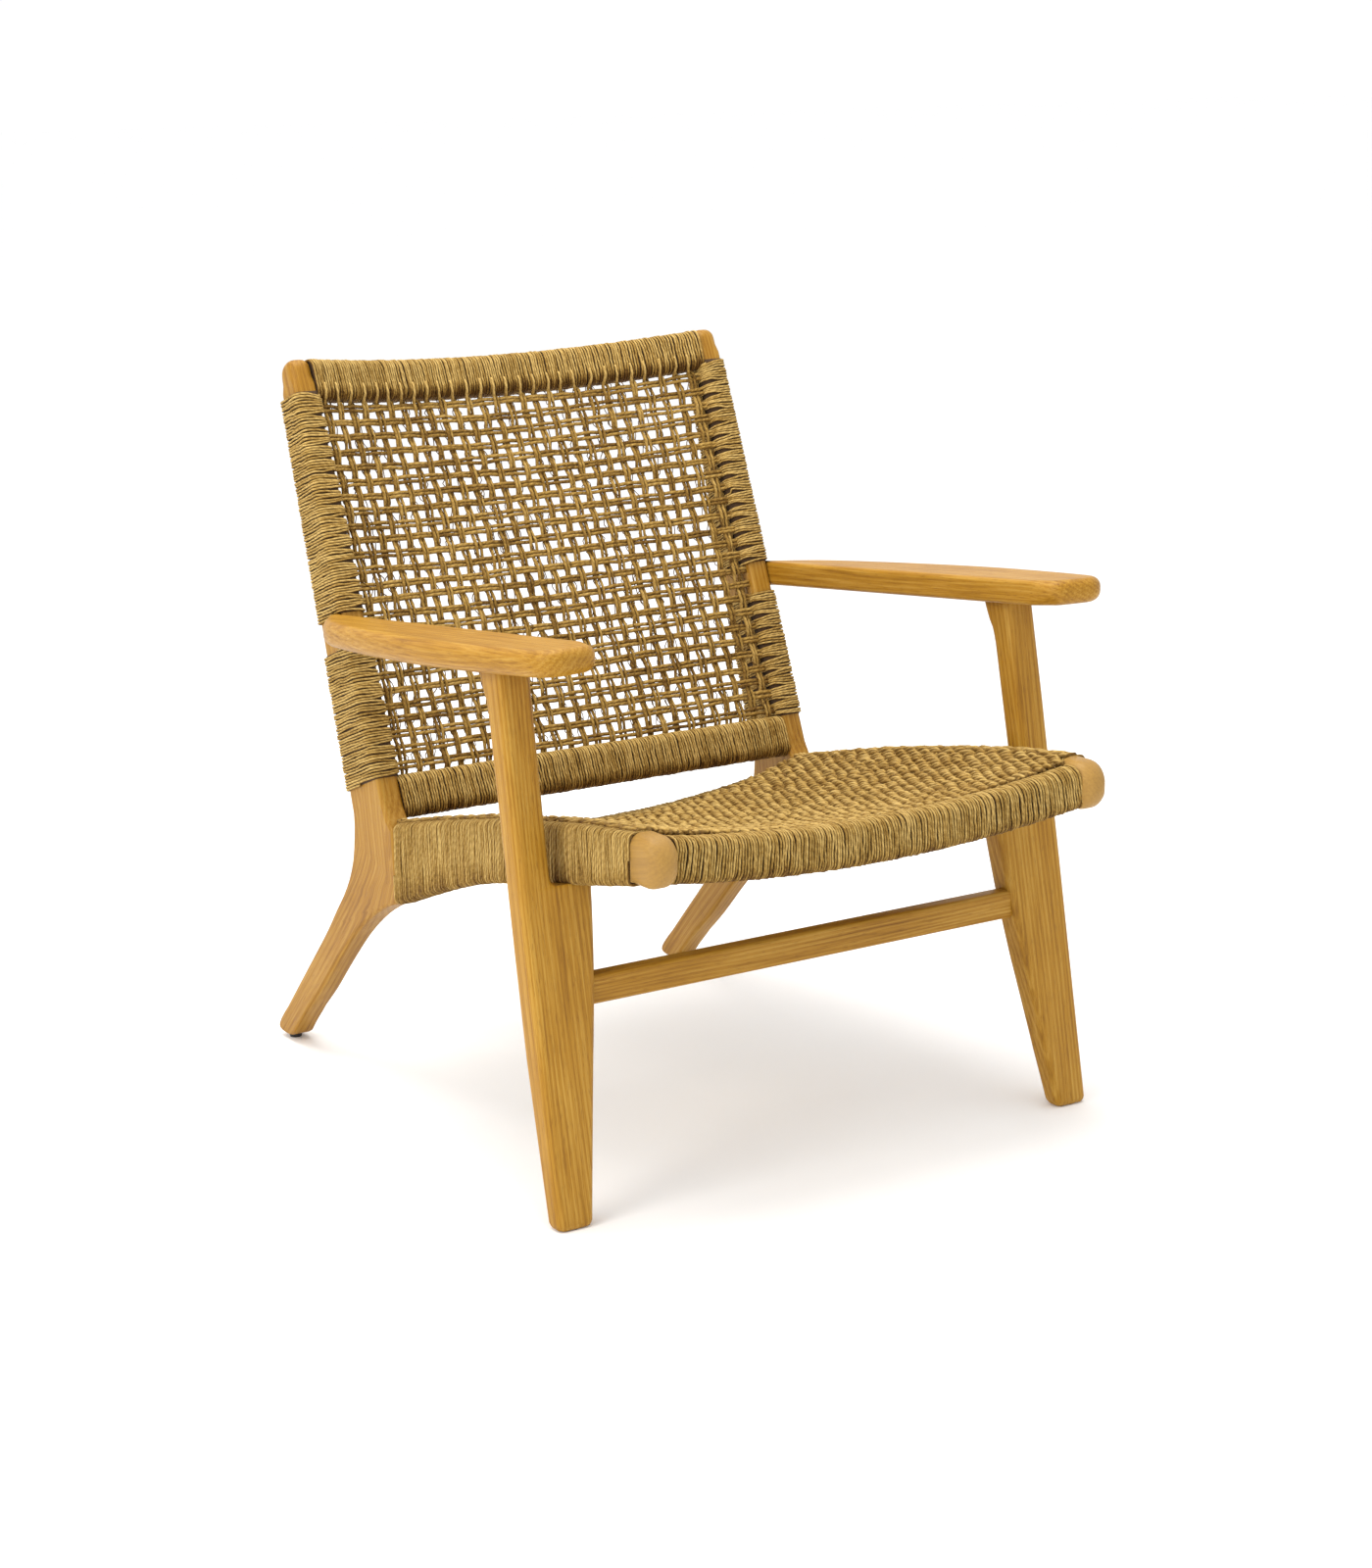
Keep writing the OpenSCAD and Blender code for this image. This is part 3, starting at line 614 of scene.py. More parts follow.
def plastic(name):
    """Black moulded plastic with a fine uneven skin."""
    c = colours()
    k = Nodes(name)
    obj = k.add("TexCoord").outputs["Object"]
    n = k.noise(obj, 900.0, 3.0)
    k.link(k.mix(n, c["glide"], tuple(2.2 * q for q in c["glide"])), k.shader.inputs["Base Color"])
    k.link(k.ramp(n, [(0.3, (0.38,) * 3), (0.7, (0.6,) * 3)]), k.shader.inputs["Roughness"])
    k.bump(n, 0.2, 0.0002)
    return k.m


# ---- the shapes of the chair -------------------------------------------------------------------

POST_LONG = 493.0
KNEE_BACK = [(237, 272), (240, 250), (248, 228), (263, 204), (285, 178), (309, 149), (348, 107),
             (391, 61), (429, 20)]
KNEE_FRONT = [(142, 219), (175, 205), (210, 185), (248, 156), (290, 116), (329, 76), (362, 46),
              (391, 19)]
RAIL_TOP = [(-306, 384), (-246, 377), (-197, 370), (-135, 359), (-28, 339), (85, 313), (150, 297)]
RAIL_LOW = [(-306, 341), (-236, 326), (-186, 316), (-130, 304), (-79, 293), (-20, 278), (33, 261),
            (86, 242), (142, 220)]
TOP_S, LOW_S, RAIL_N = POST_LONG - 24, 22.0, 14.0


def post_depth(s):
    """Depth of a back post at height s: it narrows evenly from the seat line to the top."""
    return 73 + (33 - 73) * np.asarray(s, float) / (POST_LONG - 12)


def flat_back(s, n):
    """Y and Z of a point of the leaning back."""
    p = back_point(0.0, n, s)
    return p[..., 1:]


def side_outline():
    """The outline of a side plank, up its front edge and down its back edge in equal steps, with a
    rounded post top and a flat foot between. Returns the outline and the steps in each edge."""
    k = 64
    front = np.vstack([smooth_line(KNEE_FRONT, 6)[::-1], [[146, 258]], [[150, 296]],
                       flat_back(np.array([2, 60, 200, 330, POST_LONG - 13]), 2.5)])
    s = np.array([14, 60, 200, 330, POST_LONG - 17])
    rear = np.vstack([smooth_line(KNEE_BACK, 6)[::-1], flat_back(s, 2.5 + post_depth(s))])
    front, rear = even(front, k), even(rear, k)
    a = np.linspace(0, np.pi / 2, 8)
    full = 2.5 + post_depth(POST_LONG - 8)
    top = np.vstack([flat_back(POST_LONG - 12 + 12 * np.sin(a), 2.5 + 12 - 12 * np.cos(a)),
                     flat_back(POST_LONG - 16 + 16 * np.sin(a[::-1]),
                               full - 16 + 16 * np.cos(a[::-1]))])
    foot = np.array([(434, 14), (434, 10), (432, 6.6), (427, 5.2), (418, 5), (410, 5), (403, 6),
                     (397, 9.6), (393, 14)])
    P = np.vstack([front, top, rear[::-1], foot])
    return P, k


def along_plank(V):
    """Grain place in a side plank: the nearest point of the plank's middle line gives the distance
    down the grain, and the offset from it the distance across."""
    line = np.vstack([flat_back(np.linspace(POST_LONG + 20, 30, 24), 2.5 + 26),
                      smooth_line([(193, 262), (206, 235), (226, 206), (262, 168), (300, 130),
                                   (345, 84), (395, 32), (430, -6)], 6)])
    q = V[..., 1:].reshape(-1, 2)
    d = np.diff(line, axis=0)
    l2 = np.sum(d * d, 1)
    t = np.clip(np.einsum("pkj,kj->pk", q[:, None] - line[None, :-1], d) / l2, 0, 1)
    near = line[None, :-1] + t[..., None] * d[None]
    gap = q[:, None] - near
    dist = np.linalg.norm(gap, axis=-1)
    i = np.argmin(dist, 1)
    r = np.arange(len(q))
    cum = np.concatenate([[0], np.cumsum(np.sqrt(l2))])
    sgn = np.sign(d[i, 0] * gap[r, i, 1] - d[i, 1] * gap[r, i, 0])
    along = cum[i] + t[r, i] * np.sqrt(l2[i])
    return np.stack([dist[r, i] * sgn, V[..., 0].ravel(), along], -1)


def make_side_frames(s):
    """Both side planks: back post, knee and raked rear leg sawn from one board."""
    P, k = side_outline()
    Q = P.copy()
    for turn in range(4):
        ends = np.ones(len(Q), bool)  # the post top and the foot, between the two long edges
        ends[2: k - 2] = False
        ends[len(P) - 9 - k + 2: len(P) - 11] = False
        ends[-10:] = turn < 1
        Q[ends] = soften(Q, 1)[ends]
    radius = np.full(len(Q), s["edge"])
    radius[k - 1: k + 17] = s["edge"] + 5
    radius[:3] = radius[-11:] = 3.0

    def place(p, h):
        return np.concatenate([np.broadcast_to(INNER + h, (len(p),))[:, None], p], 1)

    V, F, C = slab(Q, place, OUTER - INNER, radius)
    F, C = facing_out(V, F, C)
    timber_pair("side_plank_", "side_frame_", (V, F, C), along_plank(V), (0, 310),
                wood("plank wood", deep=0.2))


def make_side_rails(s):
    """Both side rails: a bar that deepens to the back, ending in front in a rounded horn. The
    horn is a bar whose half height and half width follow a circle and a fuller oval as they
    near its tip."""
    top, low = smooth_line(RAIL_TOP, 8), smooth_line(RAIL_LOW, 8)
    y = np.linspace(-303, 149, 40)
    zt, zl = np.interp(y, top[:, 0], top[:, 1]), np.interp(y, low[:, 0], low[:, 1])
    C = np.stack([np.full_like(y, MID_X), y, (zt + zl) / 2], -1)
    one = np.ones(len(y))
    A, B = np.outer(one, [1, 0, 0]), np.outer(one, [0, 0, 1])
    V1, F1, C1 = loft((C, A, B, 10.5 * one, (zt - zl) / 2, 3 * one))
    F1, C1 = facing_out(V1, F1, C1)
    t = np.sin(np.linspace(0, np.pi / 2, 18)) * 0.996
    yy = np.concatenate([[-303.0, -305.0], -322 - 24.5 * t])
    b = np.concatenate([[23.4, 24.5], 24.5 * np.sqrt(1 - t**2)])
    half = s["horn"] / 2
    a = np.concatenate([[half - 1.1, half], half * (1 - t**2.6) ** (1 / 2.3)])
    C = np.stack([np.full_like(yy, OUTER - half), yy, 0 * yy + 362.5], -1)
    one = np.ones(len(yy))
    r = np.minimum(np.minimum(a, b) * 0.9, 12.0)
    V2, F2, C2 = loft((C, np.outer(one, [1, 0, 0]), np.outer(one, [0, 0, 1]), a, b, r), arc=8)
    F2, C2 = facing_out(V2, F2, C2)
    n = len(V1.reshape(-1, 3))
    V = np.vstack([V1.reshape(-1, 3), V2.reshape(-1, 3)])
    F = np.vstack([F1, F2 + n])
    C = C1 + [c + n for c in C2]
    grain = np.stack([V[:, 2] - 300 + 0.2 * V[:, 1], V[:, 0], V[:, 1] + 90], -1)
    timber_pair("seat_rail_", "side_rail_", (V, F, C), grain, (40, 150),
                wood("horn wood", pale=0.6, lines=0.07))


ARM_FRONT = -262.0


def arm_lines():
    """Rear end of the arms, their slope, and the heights of underside and top as functions of
    Y: both are straight lines that rise to the front, the underside by 1.5 more than the top."""
    rear = BEND + 200 * math.sin(LEAN) + 38 * math.cos(LEAN)
    top = SEAT_LINE + 214 * math.cos(LEAN)
    rise, thick = 52.0, 27.0
    run = rear - ARM_FRONT + 12

    def low(y):
        return top - thick + (rise + 1.5) * (rear - y) / run

    def high(y):
        return top + rise * (rear - y) / run

    return rear, rise / run, low, high


def make_arms(s):
    """Both arms: a board of even thickness with a curved outer edge that climbs towards the
    front."""
    rear, slope, low, high = arm_lines()
    i, f = OUTER + 0.4, ARM_FRONT
    edge = smooth_line([
        (i - 4, f + 22), (i - 1, f + 10), (i + 8, f + 2.5), (i + 24, f - 1), (i + 42, f - 4),
        (i + 54, f + 1), (i + 62, f + 11), (i + 66, f + 30), (i + 71, f + 80), (i + 75.8, f + 160),
        (i + 74.5, f + 240), (i + 65.6, f + 340), (i + 52, f + 430), (i + 40, rear - 62),
        (i + 20, rear - 25), (i + 5, rear - 5)], 8)
    P = np.vstack([[[i, rear - 2], [i, rear - 60], [i - 6, f + 40]], edge, [[i, rear - 2]]])
    P = soften(even(P, 340)[:-1], 5)
    height = high(P[:, 1]) - low(P[:, 1])

    def place(p, h):
        share = np.asarray(h) / height
        z = low(p[:, 1]) + share * (high(p[:, 1]) - low(p[:, 1]))
        return np.stack([p[:, 0], p[:, 1], z], -1)

    inner = np.clip((i + 6 - P[:, 0]) / 6, 0, 1) * np.clip((P[:, 1] - f - 20) / 20, 0, 1)
    V, F, C = slab(P, place, height, s["arm_edge"] * (1 - 0.55 * inner))
    F, C = facing_out(V, F, C)
    g = V.reshape(-1, 3)
    g = np.stack([g[:, 0] * 0.9, g[:, 2] + slope * g[:, 1], g[:, 1]], -1)
    timber_pair("armrest_", "arm_", (V, F, C), g, (510, 77), wood("arm wood", lines=0.09))


def make_front_legs(s):
    """Both front legs: a bar down a raked line, wide at the shoulder under the seat rail, slim
    above it, flared to the back under the arm and cut level at the floor."""
    _, _, under, _ = arm_lines()
    out = OUTER + 53
    cross = LEG_FRONT + SEAT_LINE * 1.03 * math.tan(RAKE) + 15.5
    low = smooth_line(RAIL_LOW, 8)
    sh = np.interp(cross, low[:, 0], low[:, 1]) / math.cos(RAKE) + 0.5
    up = under(cross) / math.cos(RAKE)
    inner = smooth_line([(out - 39, 0), (out - 39, 6), (out - 47, sh * 0.2), (out - 57, sh * 0.42),
                         (out - 70, sh * 0.7), (out - 78, sh * 0.95), (out - 79, sh + 20)], 8)
    step = [sh - 6, sh - 3.2, sh - 1.4, sh - 0.4, sh, sh + 0.2, sh + 1.5, sh + 4, sh + 9]
    h = np.concatenate([[0, 0.9, 3, 6], np.linspace(14, sh - 9, 26), step,
                        np.linspace(sh + 16, up + 5, 24)])
    x0 = np.interp(h, inner[:, 1], inner[:, 0])
    shoulder = np.interp(h, [sh - 7, *step, up], [
        out - 79, out - 78.8, out - 77.4, out - 75, out - 71, out - 64, out - 42, out - 38.6,
        out - 36.2, out - 35, out - 38])
    x0 = np.where(h > sh - 7, shoulder, x0)
    x1 = np.interp(h, [0, sh * 0.8, sh * 1.3, up], [out, out, out - 1, out - 3])
    n0 = np.zeros_like(h)
    n1 = np.interp(h, [0, 8, sh * 0.5, sh, up - 44, up - 30, up - 18, up],
                   [23.5, 24, 31, 31, 31, 32.5, 37.5, 41])
    foot = np.interp(h, [0, 0.9, 3, 6], [4, 2.2, 0.8, 0])
    x0, x1, n0, n1 = x0 + foot, x1 - foot, n0 + foot, n1 - foot
    level = np.interp(h, [0, 60], [1, 0])
    a, b = (x1 - x0) / 2, (n1 - n0) / 2
    r = np.minimum(s["leg_edge"] + np.interp(h, [0, sh, sh + 30, up], [0, 1, 1.5, 0]), b * 0.62)
    ring = rounded_ring(a, b, r, 7)
    X = ring[..., 0] + ((x0 + x1) / 2)[:, None]
    N = ring[..., 1] + ((n0 + n1) / 2)[:, None]
    H = h[:, None] + level[:, None] * N * math.tan(RAKE) + 0.6
    V = leg_point(X, N, H)
    first = V[0].mean(0) + (V[0] - V[0].mean(0)) * 0.5
    V = np.concatenate([first[None], V])
    N = np.concatenate([N[:1], N])
    X = np.concatenate([X[:1], X])
    H = np.concatenate([H[:1], H])
    m = V.shape[1]
    F, C = grid_faces(len(V), m), [np.arange(m)[::-1], np.arange(m) + (len(V) - 1) * m]
    F, C = facing_out(V, F, C)
    g = np.stack([X, N * 1.1, H], -1).reshape(-1, 3)
    timber_pair("leg_", "front_leg_", (V, F, C), g, (430, 205), wood("leg wood"))


def make_stretcher(s):
    """The cross bar between the front legs, a straight bar with round edges."""
    lo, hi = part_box("stretcher")
    y, z = (lo.y + hi.y) * 500 + SHIFT, (lo.z + hi.z) * 500
    x = np.linspace(-272, 272, 30)
    one = np.ones(len(x))
    C = np.stack([x, y * one, z * one], -1)
    V, F, Cp = loft((C, np.outer(one, [0, 1, 0]), np.outer(one, [0, 0, 1]), 10 * one, 14.5 * one,
                     4.5 * one))
    F, Cp = facing_out(V, F, Cp)
    g = V.reshape(-1, 3)
    g = np.stack([g[:, 2], g[:, 1], g[:, 0]], -1)
    ob = new_piece("cross_bar", V, F, Cp, grain=g, slot="hardwood", stands_for=("stretcher",))
    ob.data.materials.append(wood("bar wood", deep=0.1))


# ---- windings ----------------------------------------------------------------------------------


def section(q, a, b, r):
    """Point and outward direction on a rectangle with round corners. q counts quarters from the
    middle of the +A side; each quarter is half a side, a corner arc and half a side, with the
    arc given more of the steps. Returns A and B places, the A and B parts of the outward
    direction and the share of the way round."""
    k = np.floor(q).astype(int) % 4
    f = q - np.floor(q)
    f = np.where(k % 2 == 0, f, 1 - f)
    arc = np.pi * r / 2
    s = np.where(f < 0.3, f / 0.3 * (b - r), np.where(
        f < 0.7, b - r + (f - 0.3) / 0.4 * arc, b - r + arc + (f - 0.7) / 0.3 * (a - r)))
    g = np.clip((s - (b - r)) / r, 0, np.pi / 2)
    x = a - r + r * np.cos(g) - np.clip(s - (b - r) - arc, 0, None)
    y = np.clip(s, 0, b - r) + r * np.sin(g)
    sx, sy = np.array([1, -1, -1, 1])[k], np.array([1, 1, -1, -1])[k]
    share = s / (a + b - 2 * r + arc)
    share = np.where(k % 2 == 0, share, 1 - share)
    return x * sx, y * sy, np.cos(g) * sx, np.sin(g) * sy, np.floor(q) + share


UNDER = 0.9  # height of the wound cord's inner side above the wood
TURN_STEPS = 10  # points of a wound cord to a quarter of a turn
RAIL_CORD = 243.2  # half length of the windings on the back rails and the rear seat rail
SIDE_CORD = (-304, 146)  # where a side rail's winding starts and ends, as Y
POST_GAP = (184, 219)  # bare part of a post, where the arm meets it, as height up the post
POST_CORD_TOP = 455


def winding(s, w0, w1, where, seed, stray=1.0, pull=None, dull=0.0):
    """One cord wound round a bar from w0 to w1. where(w) gives the bar's centre, its two
    section axes, half sizes and corner radius; the cord steps on by one pitch each turn, strays
    by smooth noise that neighbours share and by a little of its own, and pull moves it along
    the bar at parts of a turn. dull darkens the under side of the turns as painted shade."""
    d = s["cord"]
    turns = abs(w1 - w0) / s["pitch"]
    q = np.arange(0, turns * 4, 1 / TURN_STEPS)
    w = w0 + (w1 - w0) * q / (turns * 4)
    C, A, B, a, b, r, along = where(w)
    out = d / 2 + UNDER
    x, y, nx, ny, share = section(q, a + out, b + out, r + out)
    w = w0 + (w1 - w0) * share / (turns * 4)
    amp = s["wander"] * stray
    near = noise_field(w / 9.0, (share % 4) * 1.5 + seed, seed)
    near2 = noise_field(w / 31.0, (share % 4) * 0.8 + seed, seed + 1)
    own = noise_line(share * 0.85, seed + 2)
    quick = noise_line(share * 4.3, seed + 9)
    shift = amp * (near * 0.9 + near2 * 0.8 + own * 0.8 + quick * 0.7)
    shift *= np.clip(np.minimum(np.abs(w - w0), np.abs(w1 - w)) / 5, 0.1, 1)
    if pull is not None:
        shift = shift + pull(w, share % 4)
    w = np.clip(w + shift, min(w0, w1), max(w0, w1))
    C, A, B, a, b, r, along = where(w)
    lift = 0.42 * noise_line(share * 0.9, seed + 3) + 0.22 * noise_line(share * 2.3, seed + 4)
    x, y, nx, ny, _ = section(q, a + out, b + out, r + out)
    x, y = x + nx * lift, y + ny * lift
    P = C + A * x[:, None] + B * y[:, None]
    tone = noise_line(share * 1.7, seed + 5) * 0.7 + noise_line(share * 0.1, seed + 6) * 0.1
    # painted shade: the turns darken towards the middle of their under side
    tone = tone - dull * np.exp(-(((share % 4 - 3.0) / 0.62) ** 4))
    rad = d / 2 * (1 + 0.14 * noise_line(share * 1.3, seed + 7))
    return P[None], along[None], rad[None], tone[None]


def sleeve(name, w0, w1, where, mirror=False):
    """Inner layer of cord under the turns, coloured with painted shade for the shadow between
    them: the bar's own section set out a little."""
    w = np.linspace(w0, w1, 60)
    C, A, B, a, b, r, _ = where(w)
    V, F, caps = loft((C, A, B, a + 0.7, b + 0.7, r + 0.7))
    F, caps = facing_out(V, F, caps)
    ob = new_piece(name, V, F, caps, slot="cord_wrap", mirror=mirror)
    ob.data.materials.append(painted_shade_material("shaded layer"))


def arc_radius(rise):
    """Radius of the arc over the width between the posts with this rise: half width squared
    plus rise squared, over twice the rise."""
    return (SPAN**2 + rise**2) / (2 * rise)


def top_rail_place(w):
    """Top rail: an arc in the plane of the rail, bowed back. The section leans with the posts
    and is square to the arc in the middle, and turns to lie flat on the posts at the ends."""
    R = arc_radius(TOP_BOW)
    w = np.asarray(w, float)
    n = RAIL_N + TOP_BOW - R + np.sqrt(R * R - w * w)
    C = back_point(w, n, TOP_S)
    e = np.array([0, math.cos(LEAN), -math.sin(LEAN)])
    t = np.stack([np.sqrt(R * R - w * w) / R, -w / R], -1)
    flat = np.clip((np.abs(w) - 120) / 100, 0, 1)[:, None]
    A = unit(-t[:, 1:] * (1 - flat) * np.array([[1.0, 0, 0]]) + t[:, :1] * e)
    along = t[:, :1] * np.array([[1.0, 0, 0]]) + t[:, 1:] * e
    B = np.broadcast_to([0, math.sin(LEAN), math.cos(LEAN)], A.shape)
    o = np.ones_like(w)
    return C, A, B, 11 * o, 19 * o, 8 * o, along


def low_rail_place(w):
    """Lower back rail: straight across between the posts."""
    w = np.asarray(w, float)
    C = back_point(w, RAIL_N, LOW_S)
    o = np.ones_like(w)
    A = np.outer(o, [0, math.cos(LEAN), -math.sin(LEAN)])
    B = np.outer(o, [0, math.sin(LEAN), math.cos(LEAN)])
    return C, A, B, 11 * o, 19 * o, 8 * o, np.outer(o, [1, 0, 0])


def seat_rail_place(y, z, dip, high):
    """Front or rear seat rail: an arc that dips in the middle, in an upright plane."""
    R = arc_radius(dip)

    def where(w):
        w = np.asarray(w, float)
        c = np.sqrt(R * R - w * w) / R
        C = np.stack([w, np.full_like(w, y), z - dip + R - R * c], -1)
        o = np.ones_like(w)
        A = np.outer(o, [0, 1, 0])
        B = np.stack([-w / R, 0 * w, c], -1)
        along = np.stack([c, 0 * w, w / R], -1)
        return C, A, B, 11 * o, high / 2 * o, 8 * o, along

    return where


def side_rail_place(w):
    """Side rail of the right side: w is Y; the section stands upright and deepens to the back."""
    w = np.asarray(w, float)
    top, low = smooth_line(RAIL_TOP, 8), smooth_line(RAIL_LOW, 8)
    zt, zl = np.interp(w, top[:, 0], top[:, 1]), np.interp(w, low[:, 0], low[:, 1])
    C = np.stack([np.full_like(w, MID_X), w, (zt + zl) / 2], -1)
    o = np.ones_like(w)
    slope = np.interp(w, [-306, -100, 140], [-0.16, -0.24, -0.36])
    along = unit(np.stack([0 * w, o, slope], -1))
    A, B = np.outer(o, [1, 0, 0]), np.outer(o, [0, 0, 1])
    return C, A, B, 10.5 * o, (zt - zl) / 2, 3.5 * o, along


def post_place(w):
    """Back post of the right side: w is the height up the post; the section is square to it."""
    w = np.asarray(w, float)
    dep = post_depth(w)
    C = back_point(MID_X, 2.5 + dep / 2, w)
    o = np.ones_like(w)
    A = np.outer(o, [1, 0, 0])
    B = np.outer(o, [0, math.cos(LEAN), -math.sin(LEAN)])
    along = np.outer(o, [0, math.sin(LEAN), math.cos(LEAN)])
    return C, A, B, 12.5 * o, dep / 2, 4 * o, along


MESH_LOW, MESH_HIGH, MESH_HALF = 45.0, 446.0, 238.0
WEAVE_N = 10.2  # how far the weave's middle stands behind the post fronts
FRONT_HALF = OUTER - 28.4  # half length of the front rail's winding, between the horns


def row_heights(s):
    """Heights of the cord rows of the back, with a slight unevenness."""
    j = np.arange(s["rows"])
    h = MESH_LOW + (j + 0.5) * (MESH_HIGH - MESH_LOW) / s["rows"]
    return h + 0.8 * noise_line(j * 0.9 + 5, 51)


def to_rows(s):
    """On the inner side of a post the turns draw together at the nearest row of the back."""
    rows = row_heights(s)

    def pull(w, share):
        near = rows[np.argmin(np.abs(w[:, None] - rows[None]), 1)]
        inside = np.exp(-(((share - 2.25) / 0.62) ** 4))
        return (near - w) * 0.32 * inside

    return pull


def make_windings(s):
    """All the cord wound on rails and posts."""
    wrap = cord_material("wound cord", shade=-0.09)
    dull = cord_material("post cord", shade=-0.12)
    pull = to_rows(s)
    front = seat_rail_place(-322, 362.5, 17.0, 37.0)
    rear = seat_rail_place(166, 270, 24.0, 32.0)
    # last field: strength of the painted shade on the under side of the turns
    rails = (("top_rail", RAIL_CORD, top_rail_place, 11, 0.9, dull, 1.6),
             ("lower_rail", RAIL_CORD, low_rail_place, 23, 1.1, dull, 1.1),
             ("front_rail", FRONT_HALF, front, 31, 1.0, wrap, 1.1),
             ("rear_rail", RAIL_CORD, rear, 43, 1.0, wrap, 1.1))
    for name, half, where, seed, stray, material, under in rails:
        cord = winding(s, -half, half, where, seed, stray=stray, dull=under)
        cord_piece(name + "_winding", [cord], material, stands_for=("wrap_" + name,))
        sleeve(name + "_inner_layer", 3 - half, half - 3, where)
    low, high = (MESH_LOW - 2, POST_GAP[0]), (POST_GAP[1], POST_CORD_TOP)
    for side, mirror, seed in (("right", False, 61), ("left", True, 79)):
        # dull=0.8 paints shade on the under side of the side rail's turns
        cord_piece("side_rail_winding_" + side,
                   [winding(s, *SIDE_CORD, side_rail_place, seed, stray=0.9, dull=0.8)], wrap,
                   stands_for=("wrap_side_rail_" + side,), mirror=mirror)
        sleeve("side_rail_inner_layer_" + side, SIDE_CORD[0] + 3, SIDE_CORD[1] + 2,
               side_rail_place, mirror)
        cord_piece("post_winding_" + side, [
            winding(s, *low, post_place, seed + 3, pull=pull),
            winding(s, *high, post_place, seed + 8, pull=pull)], dull,
            stands_for=("wrap_post_upper_" + side, "wrap_post_lower_" + side), mirror=mirror)
        sleeve("post_lower_inner_layer_" + side, *low, post_place, mirror)
        sleeve("post_upper_inner_layer_" + side, *high, post_place, mirror)


# ---- woven back and seat -----------------------------------------------------------------------


def setback(x, s):
    """How far the weave stands back at x for height s: the top rail's arc scaled down to nothing at
    the lower rail."""
    R = arc_radius(TOP_BOW)
    return (np.sqrt(R * R - x * x) - R + TOP_BOW) * np.clip((s - LOW_S) / (TOP_S - LOW_S), 0, 1.02)


